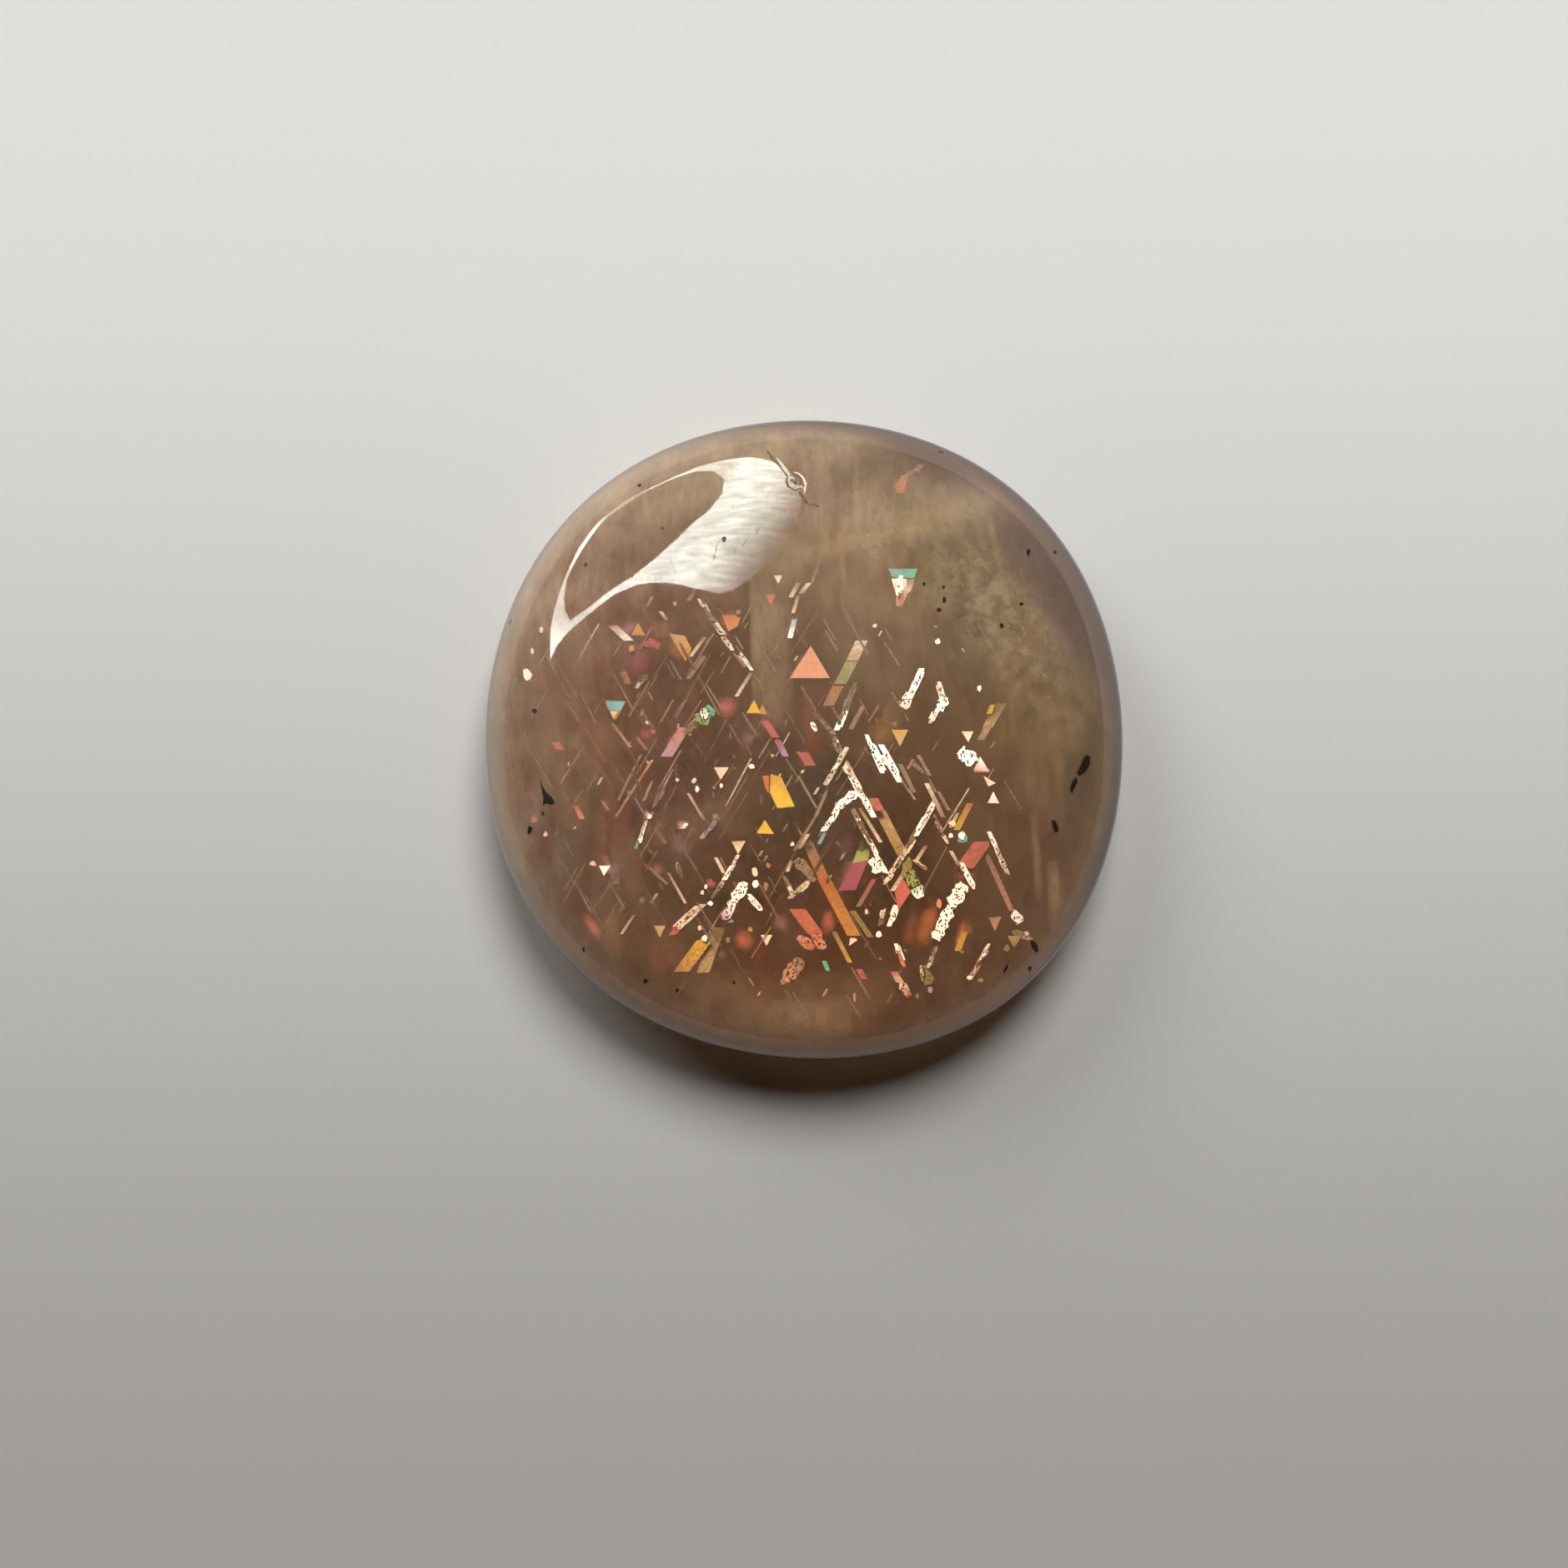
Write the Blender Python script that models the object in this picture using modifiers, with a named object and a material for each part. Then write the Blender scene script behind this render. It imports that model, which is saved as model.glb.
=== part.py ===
"""A polished rainbow lattice sunstone: one free-form domed cabochon, about 25 mm across.

Units are metres and +Z is up. The origin is the middle of the small flat under the stone, in the plane
of the surface that it rests on. Seen from above with +Y away from the viewer, the pit is near the far edge.

The stone is one grown piece of feldspar, so the model is one solid. The lattice crystals inside it are
films a few hundredths of a millimetre thick that never reach the surface, so they cut nothing from it.
"""

import math

import bmesh
import bpy
from mathutils import Vector
from mathutils.bvhtree import BVHTree

MM = 0.001

# Driving dimensions of the ground shape
MEAN_RADIUS = 12.68 * MM
GIRDLE_HEIGHT = 3.1 * MM
DOME_RISE = 4.4 * MM
REST_RADIUS = 7.0 * MM

# How full each curve is: 2 gives an ellipse, more gives a flatter top with a tighter shoulder
DOME_FLATNESS = 2.3
DOME_SHOULDER = 2.2
BELLY_FLATNESS = 2.0
BELLY_SHOULDER = 2.2

# The hand-ground outline: how many corners go round, how far they stand out, and where the first one is
OUTLINE_WAVES = (
    {"corners": 2, "share": 0.005, "first_deg": -53.0},
    {"corners": 3, "share": 0.006, "first_deg": -54.0},
    {"corners": 4, "share": 0.011, "first_deg": 43.0},
)

# Fineness of the faceted solid, and how close two points are welded into one
DOME_RINGS = 22
BELLY_RINGS = 11
TURN_STEPS = 88
WELD = 0.01 * MM

# The pit: a small ring-shaped hollow with a crack running into it from the shoulder and out towards the top
PIT_CENTRE = (-0.34 * MM, 9.92 * MM)
PIT_RING_RADIUS = 0.27 * MM
PIT_RING_WIDTH = 0.17 * MM
CRACK_WIDTH = 0.15 * MM
CRACK_STEP = 0.12 * MM
CRACKS = {
    "crack_in": ((-1.55 * MM, 11.20 * MM), (-1.16 * MM, 10.72 * MM), (-0.56 * MM, 10.12 * MM)),
    "crack_out": ((-0.20 * MM, 9.68 * MM), (0.02 * MM, 9.26 * MM), (0.50 * MM, 9.04 * MM)),
}
CUTTER_SIDES = 8
RING_STEPS = 20

STONE_COLOUR = (0.24, 0.145, 0.085, 1.0)
STONE_ROUGHNESS = 0.06
FELDSPAR_IOR = 1.53
SMOOTH_BELOW_DEG = 30.0


def clear_scene():
    for obj in list(bpy.data.objects):
        bpy.data.objects.remove(obj, do_unlink=True)


def new_collection(name):
    collection = bpy.data.collections.new(name)
    bpy.context.scene.collection.children.link(collection)
    return collection


def outline_share(angle):
    """How far the outline stands from the axis at this angle, as a share of the mean radius."""
    share = 1.0
    for wave in OUTLINE_WAVES:
        share += wave["share"] * math.cos(wave["corners"] * (angle - math.radians(wave["first_deg"])))
    return share


def side_profile():
    """(radius, height) down the stone's outer side, from the top of the dome to the middle of the flat."""
    points = []
    for ring in range(DOME_RINGS + 1):
        turn = 0.5 * math.pi * ring / DOME_RINGS
        radius = MEAN_RADIUS * math.sin(turn) ** (2 / DOME_FLATNESS)
        height = GIRDLE_HEIGHT + DOME_RISE * max(0.0, math.cos(turn)) ** (2 / DOME_SHOULDER)
        points.append((radius, height))
    for ring in range(1, BELLY_RINGS + 1):
        turn = 0.5 * math.pi * (1 - ring / BELLY_RINGS)
        radius = REST_RADIUS + (MEAN_RADIUS - REST_RADIUS) * math.sin(turn) ** (2 / BELLY_SHOULDER)
        height = GIRDLE_HEIGHT * (1 - math.cos(turn) ** (2 / BELLY_FLATNESS))
        points.append((max(radius, REST_RADIUS), max(0.0, height)))
    points.append((0.0, 0.0))
    return points


def mesh_of(obj):
    """The object's mesh with its modifiers applied."""
    bpy.context.view_layer.update()
    graph = bpy.context.evaluated_depsgraph_get()
    return bpy.data.meshes.new_from_object(obj.evaluated_get(graph))


def turned_blank(collection):
    """The stone as if it were turned exactly round: the side profile with a Screw."""
    profile = side_profile()
    mesh = bpy.data.meshes.new("side_profile")
    mesh.from_pydata([(r, 0.0, z) for r, z in profile], [(i, i + 1) for i in range(len(profile) - 1)], [])
    guide = bpy.data.objects.new("side_profile", mesh)
    collection.objects.link(guide)
    screw = guide.modifiers.new("turn", "SCREW")
    screw.axis = "Z"
    screw.steps = TURN_STEPS
    screw.render_steps = TURN_STEPS
    screw.use_merge_vertices = True
    screw.merge_threshold = WELD
    blank = mesh_of(guide)
    bpy.data.objects.remove(guide)
    return blank


def grind_outline(mesh):
    """Moves each ring in or out, so that the round blank takes the hand-ground outline."""
    for vertex in mesh.vertices:
        share = outline_share(math.atan2(vertex.co.y, vertex.co.x))
        vertex.co.x *= share
        vertex.co.y *= share


def close_and_orient(mesh):
    shape = bmesh.new()
    shape.from_mesh(mesh)
    bmesh.ops.remove_doubles(shape, verts=shape.verts, dist=WELD)
    bmesh.ops.recalc_face_normals(shape, faces=shape.faces)
    shape.to_mesh(mesh)
    shape.free()


def stone_material():
    material = bpy.data.materials.new("polished_feldspar")
    material.use_nodes = True
    shader = material.node_tree.nodes["Principled BSDF"]
    shader.inputs["Base Color"].default_value = STONE_COLOUR
    shader.inputs["Roughness"].default_value = STONE_ROUGHNESS
    shader.inputs["Metallic"].default_value = 0.0
    shader.inputs["IOR"].default_value = FELDSPAR_IOR
    return material


def make_stone(collection):
    mesh = turned_blank(collection)
    mesh.name = "sunstone"
    grind_outline(mesh)
    close_and_orient(mesh)
    mesh.shade_smooth()
    mesh.set_sharp_from_angle(angle=math.radians(SMOOTH_BELOW_DEG))
    mesh.materials.append(stone_material())
    stone = bpy.data.objects.new("sunstone", mesh)
    collection.objects.link(stone)
    return stone


def surface_finder(stone):
    """A function that gives the point of the dome straight above (x, y)."""
    shape = bmesh.new()
    shape.from_mesh(stone.data)
    tree = BVHTree.FromBMesh(shape)
    shape.free()
    above = GIRDLE_HEIGHT + 2 * DOME_RISE

    def on_dome(x, y):
        point, _, _, _ = tree.ray_cast(Vector((x, y, above)), Vector((0, 0, -1)))
        return point

    return on_dome


def stepped(corners, step):
    """Points along the straight runs between the corners, about a step apart."""
    points = [Vector(corners[0])]
    for start, end in zip(corners, corners[1:]):
        start, end = Vector(start), Vector(end)
        count = max(1, round((end - start).length / step))
        points += [start.lerp(end, i / count) for i in range(1, count + 1)]
    return points


def groove_cutter(name, points, width, closed, collection):
    """A tube along points on the surface, so that cutting with it leaves a groove half its width deep."""
    curve = bpy.data.curves.new(name, "CURVE")
    curve.dimensions = "3D"
    curve.bevel_depth = width / 2
    curve.bevel_resolution = CUTTER_SIDES // 2 - 2
    curve.use_fill_caps = True
    spline = curve.splines.new("POLY")
    spline.points.add(len(points) - 1)
    for point, place in zip(spline.points, points):
        point.co = (*place, 1.0)
    spline.use_cyclic_u = closed
    guide = bpy.data.objects.new(name, curve)
    collection.objects.link(guide)
    mesh = mesh_of(guide)
    bpy.data.objects.remove(guide)
    close_and_orient(mesh)
    cutter = bpy.data.objects.new(name, mesh)
    cutter.hide_render = True
    cutter.display_type = "WIRE"
    collection.objects.link(cutter)
    return cutter


def make_pit_cutters(on_dome, collection):
    cutters = []
    ring = []
    for step in range(RING_STEPS):
        angle = 2 * math.pi * step / RING_STEPS
        x = PIT_CENTRE[0] + PIT_RING_RADIUS * math.cos(angle)
        y = PIT_CENTRE[1] + PIT_RING_RADIUS * math.sin(angle)
        ring.append(on_dome(x, y))
    cutters.append(groove_cutter("pit_ring", ring, PIT_RING_WIDTH, True, collection))
    for name, corners in CRACKS.items():
        path = [on_dome(point.x, point.y) for point in stepped(corners, CRACK_STEP)]
        cutters.append(groove_cutter(name, path, CRACK_WIDTH, False, collection))
    return cutters


def cut(stone, cutters):
    for cutter in cutters:
        groove = stone.modifiers.new(cutter.name, "BOOLEAN")
        groove.operation = "DIFFERENCE"
        groove.solver = "EXACT"
        groove.object = cutter


def main():
    clear_scene()
    parts = new_collection("rainbow_lattice_sunstone")
    helpers = new_collection("pit_cutters")
    stone = make_stone(parts)
    cut(stone, make_pit_cutters(surface_finder(stone), helpers))


main()
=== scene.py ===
import math
import random

import bmesh
import bpy
from mathutils import Matrix, Vector, noise
from mathutils.bvhtree import BVHTree


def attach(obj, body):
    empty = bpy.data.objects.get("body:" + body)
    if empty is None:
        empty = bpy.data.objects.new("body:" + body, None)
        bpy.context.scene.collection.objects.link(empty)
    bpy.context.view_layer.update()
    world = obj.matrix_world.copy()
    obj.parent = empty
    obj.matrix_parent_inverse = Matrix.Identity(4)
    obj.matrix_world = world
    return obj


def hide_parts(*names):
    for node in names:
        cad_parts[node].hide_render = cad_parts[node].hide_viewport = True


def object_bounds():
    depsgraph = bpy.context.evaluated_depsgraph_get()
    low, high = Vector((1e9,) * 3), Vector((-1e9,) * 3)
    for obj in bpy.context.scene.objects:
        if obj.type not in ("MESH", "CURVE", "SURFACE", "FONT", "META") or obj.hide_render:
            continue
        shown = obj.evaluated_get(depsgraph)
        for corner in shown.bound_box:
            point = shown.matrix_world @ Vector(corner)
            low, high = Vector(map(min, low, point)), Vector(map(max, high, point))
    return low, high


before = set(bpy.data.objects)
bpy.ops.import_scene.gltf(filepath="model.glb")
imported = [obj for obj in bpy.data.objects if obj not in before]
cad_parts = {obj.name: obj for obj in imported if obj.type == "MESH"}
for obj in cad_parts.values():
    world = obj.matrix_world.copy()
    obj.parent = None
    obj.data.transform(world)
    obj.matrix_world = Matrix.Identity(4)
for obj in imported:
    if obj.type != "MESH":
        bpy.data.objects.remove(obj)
cadLow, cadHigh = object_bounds()
mm = 0.001

# The photograph's frame: its side and the stone's middle in pixels, and the scale at the girdle
photo = {"side": 1880, "stoneX": 966, "stoneY": 888, "pixelsPerMm": 30.5}
cameraSet = {"lens": 80.0, "sensor": 36.0, "near": 0.001, "far": 10.0}

# The ground shape, as the solid has it, only finer and a hair smaller, so that it stays in the solid's box
stone = {
    "meanRadius": 12.675 * mm,
    "girdleHeight": 3.1 * mm,
    "restRadius": 7.0 * mm,
    "domeFlatness": 2.3,
    "domeShoulder": 2.2,
    "bellyFlatness": 2.0,
    "bellyShoulder": 2.2,
    "outline": [(2, 0.005, -53.0), (3, 0.006, -54.0), (4, 0.011, 43.0)],  # corners, share, first corner
    "domeRings": 80,
    "bellyRings": 40,
    "turnSteps": 288,
    "ior": 1.53,
    "polishLines": {"turn": -2.0, "size": (9, 1, 1), "scale": 3.4, "detail": 2.0, "deep": 0.0003},  # mm
    "dullHeight": (0.02, 0.25),  # the ground flat and where the polish starts, in mm
    "roughness": (0.42, 0.03),
    "weld": 0.002 * mm,
}
domeRise = cadHigh.z - stone["girdleHeight"]


def srgb(red, green, blue):
    # A 0 to 255 colour as Blender's linear colour
    parts = [c / 255 for c in (red, green, blue)]
    return tuple(c / 12.92 if c <= 0.04045 else ((c + 0.055) / 1.055) ** 2.4 for c in parts) + (1.0,)


def addPiece(name, bm, materials, smooth=True):
    mesh = bpy.data.meshes.new(name)
    bm.to_mesh(mesh)
    bm.free()
    for material in materials:
        mesh.materials.append(material)
    if smooth:
        mesh.shade_smooth()
    piece = bpy.data.objects.new(name, mesh)
    bpy.context.scene.collection.objects.link(piece)
    return piece


def newMaterial(name):
    material = bpy.data.materials.new(name)
    material.use_nodes = True
    return material, material.node_tree, material.node_tree.nodes["Principled BSDF"]


def feed(tree, value, socket):
    if isinstance(value, bpy.types.NodeSocket):
        tree.links.new(value, socket)
    else:
        socket.default_value = value


def maths(tree, operation, *values):
    node = tree.nodes.new("ShaderNodeMath")
    node.operation = operation
    for value, socket in zip(values, node.inputs):
        feed(tree, value, socket)
    return node.outputs["Value"]


def ease(tree, value, low, high, least=0.0, most=1.0):
    # Rises smoothly from least to most while the value goes from low to high
    node = tree.nodes.new("ShaderNodeMapRange")
    node.interpolation_type = "SMOOTHSTEP"
    for name, level in (("From Min", low), ("From Max", high), ("To Min", least), ("To Max", most)):
        node.inputs[name].default_value = level
    feed(tree, value, node.inputs["Value"])
    return node.outputs["Result"]


def vectorMaths(tree, operation, vector, other=(0, 0, 0), output="Value"):
    node = tree.nodes.new("ShaderNodeVectorMath")
    node.operation = operation
    feed(tree, vector, node.inputs[0])
    node.inputs[1].default_value = other
    return node.outputs[output]


def placed(tree, middle=(0, 0, 0), turn=0.0, size=(1, 1, 1)):
    # Object coordinates in mm, seen from a middle, turned about the upright axis and divided by a size
    coords = tree.nodes.new("ShaderNodeTexCoord")
    mapping = tree.nodes.new("ShaderNodeMapping")
    mapping.vector_type = "TEXTURE"
    mapping.inputs["Location"].default_value = Vector(middle) * mm
    mapping.inputs["Rotation"].default_value = (0, 0, math.radians(turn))
    mapping.inputs["Scale"].default_value = Vector(size) * mm
    tree.links.new(coords.outputs["Object"], mapping.inputs["Vector"])
    return mapping.outputs["Vector"]


def cloudy(tree, vector, scale, detail=3.0, roughness=0.55):
    node = tree.nodes.new("ShaderNodeTexNoise")
    for name, level in (("Scale", scale), ("Detail", detail), ("Roughness", roughness)):
        node.inputs[name].default_value = level
    feed(tree, vector, node.inputs["Vector"])
    return node.outputs["Fac"]


def patchy(tree, scale, low, high, least=0.0, most=1.0, turn=0.0, size=(1, 1, 1), detail=3.0, roughness=0.55):
    # Uneven patches that go from least to most while the noise goes from low to high
    noisy = cloudy(tree, placed(tree, turn=turn, size=size), scale, detail, roughness)
    return ease(tree, noisy, low, high, least, most)


def blended(tree, share, first, second):
    node = tree.nodes.new("ShaderNodeMix")
    node.data_type = "RGBA"
    for value, socket in ((share, "Factor_Float"), (first, "A_Color"), (second, "B_Color")):
        feed(tree, value, next(i for i in node.inputs if i.identifier == socket))
    return next(o for o in node.outputs if o.identifier == "Result_Color")


def onStone(px, py):
    # A pixel of the photograph as mm from the stone's middle
    return (px - photo["stoneX"]) / photo["pixelsPerMm"], (photo["stoneY"] - py) / photo["pixelsPerMm"]


def softSpot(tree, px, py, wide, high, turn, soft):
    # 1 in the middle of an oval with these half sizes, as seen from above, and 0 outside it
    endless = 1000.0
    size = wide / photo["pixelsPerMm"], high / photo["pixelsPerMm"], endless
    away = vectorMaths(tree, "LENGTH", placed(tree, (*onStone(px, py), 0), turn, size))
    return ease(tree, away, 1 - soft, 1 + soft, 1.0, 0.0)


def axesOf(tree):
    # The places across, away and up, in mm
    node = tree.nodes.new("ShaderNodeSeparateXYZ")
    feed(tree, placed(tree), node.inputs[0])
    return [node.outputs[axis] for axis in "XYZ"]


def bumpFrom(tree, height, shader, distance, strength=1.0):
    bump = tree.nodes.new("ShaderNodeBump")
    bump.inputs["Distance"].default_value = distance * mm
    bump.inputs["Strength"].default_value = strength
    feed(tree, height, bump.inputs["Height"])
    feed(tree, bump.outputs["Normal"], shader.inputs["Normal"])


# Camera, straight above the paper
girdlePlane = stone["girdleHeight"]
frameWidth = photo["side"] / photo["pixelsPerMm"] * mm
eyeHeight = girdlePlane + frameWidth * cameraSet["lens"] / cameraSet["sensor"]
frameMiddle = photo["side"] / 2
eye = Vector((
    (frameMiddle - photo["stoneX"]) / photo["pixelsPerMm"] * mm,
    (photo["stoneY"] - frameMiddle) / photo["pixelsPerMm"] * mm,
    eyeHeight,
))
cameraData = bpy.data.cameras.new("photoCamera")
cameraData.lens = cameraSet["lens"]
cameraData.sensor_width = cameraSet["sensor"]
cameraData.clip_start = cameraSet["near"]
cameraData.clip_end = cameraSet["far"]
camera = bpy.data.objects.new("photoCamera", cameraData)
camera.location = eye
bpy.context.scene.collection.objects.link(camera)
bpy.context.scene.camera = camera
print("camera ready")


def sightLine(px, py):
    # The direction in which the camera sees this pixel
    spread = cameraSet["sensor"] / cameraSet["lens"] / photo["side"]
    return Vector(((px - frameMiddle) * spread, (frameMiddle - py) * spread, -1.0)).normalized()


# The stone's body
def outlineShare(angle):
    waves = [share * math.cos(n * (angle - math.radians(first))) for n, share, first in stone["outline"]]
    return 1.0 + sum(waves)


def buildBody():
    bm = bmesh.new()
    radius, rest, girdle = stone["meanRadius"], stone["restRadius"], stone["girdleHeight"]
    points = []
    for ring in range(stone["domeRings"] + 1):
        turn = 0.5 * math.pi * ring / stone["domeRings"]
        across = math.sin(turn) ** (2 / stone["domeFlatness"])
        up = max(0.0, math.cos(turn)) ** (2 / stone["domeShoulder"])
        points.append((radius * across, girdle + domeRise * up))
    for ring in range(1, stone["bellyRings"] + 1):
        turn = 0.5 * math.pi * (1 - ring / stone["bellyRings"])
        across = math.sin(turn) ** (2 / stone["bellyShoulder"])
        down = 1 - math.cos(turn) ** (2 / stone["bellyFlatness"])
        points.append((rest + (radius - rest) * across, girdle * down))
    points.append((0.0, 0.0))
    verts = [bm.verts.new((r, 0.0, z)) for r, z in points]
    for upper, lower in zip(verts, verts[1:]):
        bm.edges.new((upper, lower))
    bmesh.ops.spin(
        bm, geom=bm.verts[:] + bm.edges[:], cent=(0, 0, 0), axis=(0, 0, 1), angle=2 * math.pi,
        steps=stone["turnSteps"], use_merge=True,
    )
    bmesh.ops.remove_doubles(bm, verts=bm.verts, dist=stone["weld"])
    for v in bm.verts:
        share = outlineShare(math.atan2(v.co.y, v.co.x))
        v.co.x *= share
        v.co.y *= share
    bmesh.ops.recalc_face_normals(bm, faces=bm.faces)
    return bm


bodyMesh = buildBody()
bodyTree = BVHTree.FromBMesh(bodyMesh)


def fullness(point):
    # 1 on the dome, less inside it
    reach = stone["meanRadius"] * outlineShare(math.atan2(point.y, point.x))
    across = math.hypot(point.x, point.y) / reach
    up = max(0.0, point.z - stone["girdleHeight"]) / domeRise
    return across ** stone["domeFlatness"] + up ** stone["domeShoulder"]


def domeNormal(point):
    step = 0.01 * mm
    axes = (Vector((step, 0, 0)), Vector((0, step, 0)), Vector((0, 0, step)))
    return Vector([fullness(point + a) - fullness(point - a) for a in axes]).normalized()


def onDome(px, py):
    # Where the camera's sight line meets the dome
    return bodyTree.ray_cast(eye, sightLine(px, py))[0]


def refracted(line, normal, ratio):
    facing = -line.dot(normal)
    return line * ratio + normal * (ratio * facing - math.sqrt(1 - ratio ** 2 * (1 - facing ** 2)))


def bentLine(px, py):
    # The dome point at this pixel, and the sight line's direction inside the stone
    point = onDome(px, py)
    return point, refracted(sightLine(px, py), domeNormal(point), 1 / stone["ior"])


def keptInside(px, py, most):
    # The pixel, or the nearest one towards the middle that is at most this share of the way to the outline
    away = Vector((px - photo["stoneX"], photo["stoneY"] - py))
    reach = stone["meanRadius"] / mm * photo["pixelsPerMm"] * outlineShare(math.atan2(away.y, away.x))
    if away.length > most * reach:
        away *= most * reach / away.length
    return photo["stoneX"] + away.x, photo["stoneY"] - away.y


# The brown of the stone: what each mm takes from red, green and blue
absorption = {"colour": (0.68, 0.57, 0.44), "density": 130.0}

# Milkiness by place: how much of the light the haze near the surface scatters back. An oval is its middle in
# the photograph, half width, half height, turn and softness, then its level, and then its share of the colour
milk = {
    "clear": 0.15,
    "rim": 0.12,
    "edge": 0.62,
    "line": 0.3,
    "core": (975, 910, 318, 300, 20, 0.26),
    "ovals": [
        (860, 545, 230, 66, 20, 0.6, 0.14), (720, 680, 130, 70, 50, 0.6, 0.07),
        (745, 745, 110, 60, 10, 0.7, 0.05), (665, 715, 44, 60, -30, 0.7, 0.08),
        (1035, 812, 40, 34, 30, 0.7, 0.05), (1160, 1020, 40, 40, 0.0, 0.7, 0.04),
        (765, 850, 60, 110, 0.0, 0.7, 0.022), (940, 590, 90, 50, 0.0, 0.7, 0.06),
        (1110, 745, 120, 60, -10, 0.7, 0.09), (1010, 1010, 190, 170, 0.0, 0.5, -0.055),
        (900, 985, 110, 120, 0.0, 0.7, 0.022), (1030, 640, 180, 42, 16, 0.8, 0.15),
        (1173, 612, 34, 20, 20, 0.9, 0.05), (930, 1224, 75, 34, 0.0, 0.8, 0.12),
        (640, 900, 60, 210, 5, 0.8, 0.09), (1265, 1075, 9, 34, 3, 0.8, 0.12),
    ],
    "mottled": [
        (1130, 690, 120, 50, -30, 0.7, 0.09), (1215, 780, 110, 42, -58, 0.7, 0.12),
    ],
    "drifts": {
        "scale": 0.9, "low": 0.3, "high": 0.7, "least": 0.78, "most": 1.22, "turn": 4.0, "size": (1, 1.8, 1),
        "detail": 4.0,
    },
    "flecks": {
        "scale": 2.0, "low": 0.3, "high": 0.7, "least": 0.9, "most": 1.1, "turn": 4.0, "size": (0.5, 2.2, 1),
        "roughness": 0.6,
    },
    "mottle": {
        "scale": 1.7, "low": 0.34, "high": 0.66, "least": 0.2, "most": 1.8, "detail": 5.0, "roughness": 0.62,
    },
    "rosyPatches": {
        "scale": 0.9, "low": 0.38, "high": 0.6, "least": 0.25, "size": (1, 1.4, 1), "detail": 4.0,
        "roughness": 0.6,
    },
    "aboveBelly": (2.3, 3.1),  # heights and places in mm
    "edgeHeight": (4.0, 5.6),
    "lineHeight": (3.75, 4.35),
    "rightSide": (-10.0, 2.0),
    "lowSide": (-11.0, -4.0),
    "beige": srgb(206, 179, 148),
    "warm": srgb(206, 164, 126),
    "warmZone": (1050, 1110, 260, 150, 10, 0.6),
    "rosy": srgb(192, 150, 124),
    "olive": srgb(190, 166, 130),
    "grey": srgb(144, 122, 108),
    # Painted light and shade by side: the edge and line are paler on the left, where light comes through,
    # dark on the right as painted shade, and paler low down to make up for the dim light there
    "edgeLeft": srgb(172, 152, 130),
    "edgeRight": srgb(98, 74, 60),
    "edgeLow": srgb(192, 152, 122),
    "lineLeft": srgb(150, 128, 110),
    "lineRight": srgb(44, 26, 20),
    "lineLow": srgb(126, 86, 66),
    "greyZones": [
        (1290, 700, 190, 66, -60, 0.4, 0.24, 1), (1140, 545, 110, 44, -24, 0.5, 0.16, 1),
        (1235, 960, 80, 190, -12, 0.8, 0.03, 0.28),
    ],
    "oliveZone": (1200, 780, 210, 65, -55, 0.5),
    "rosyZone": (740, 900, 150, 260, 0.0, 0.7),
}


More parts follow.
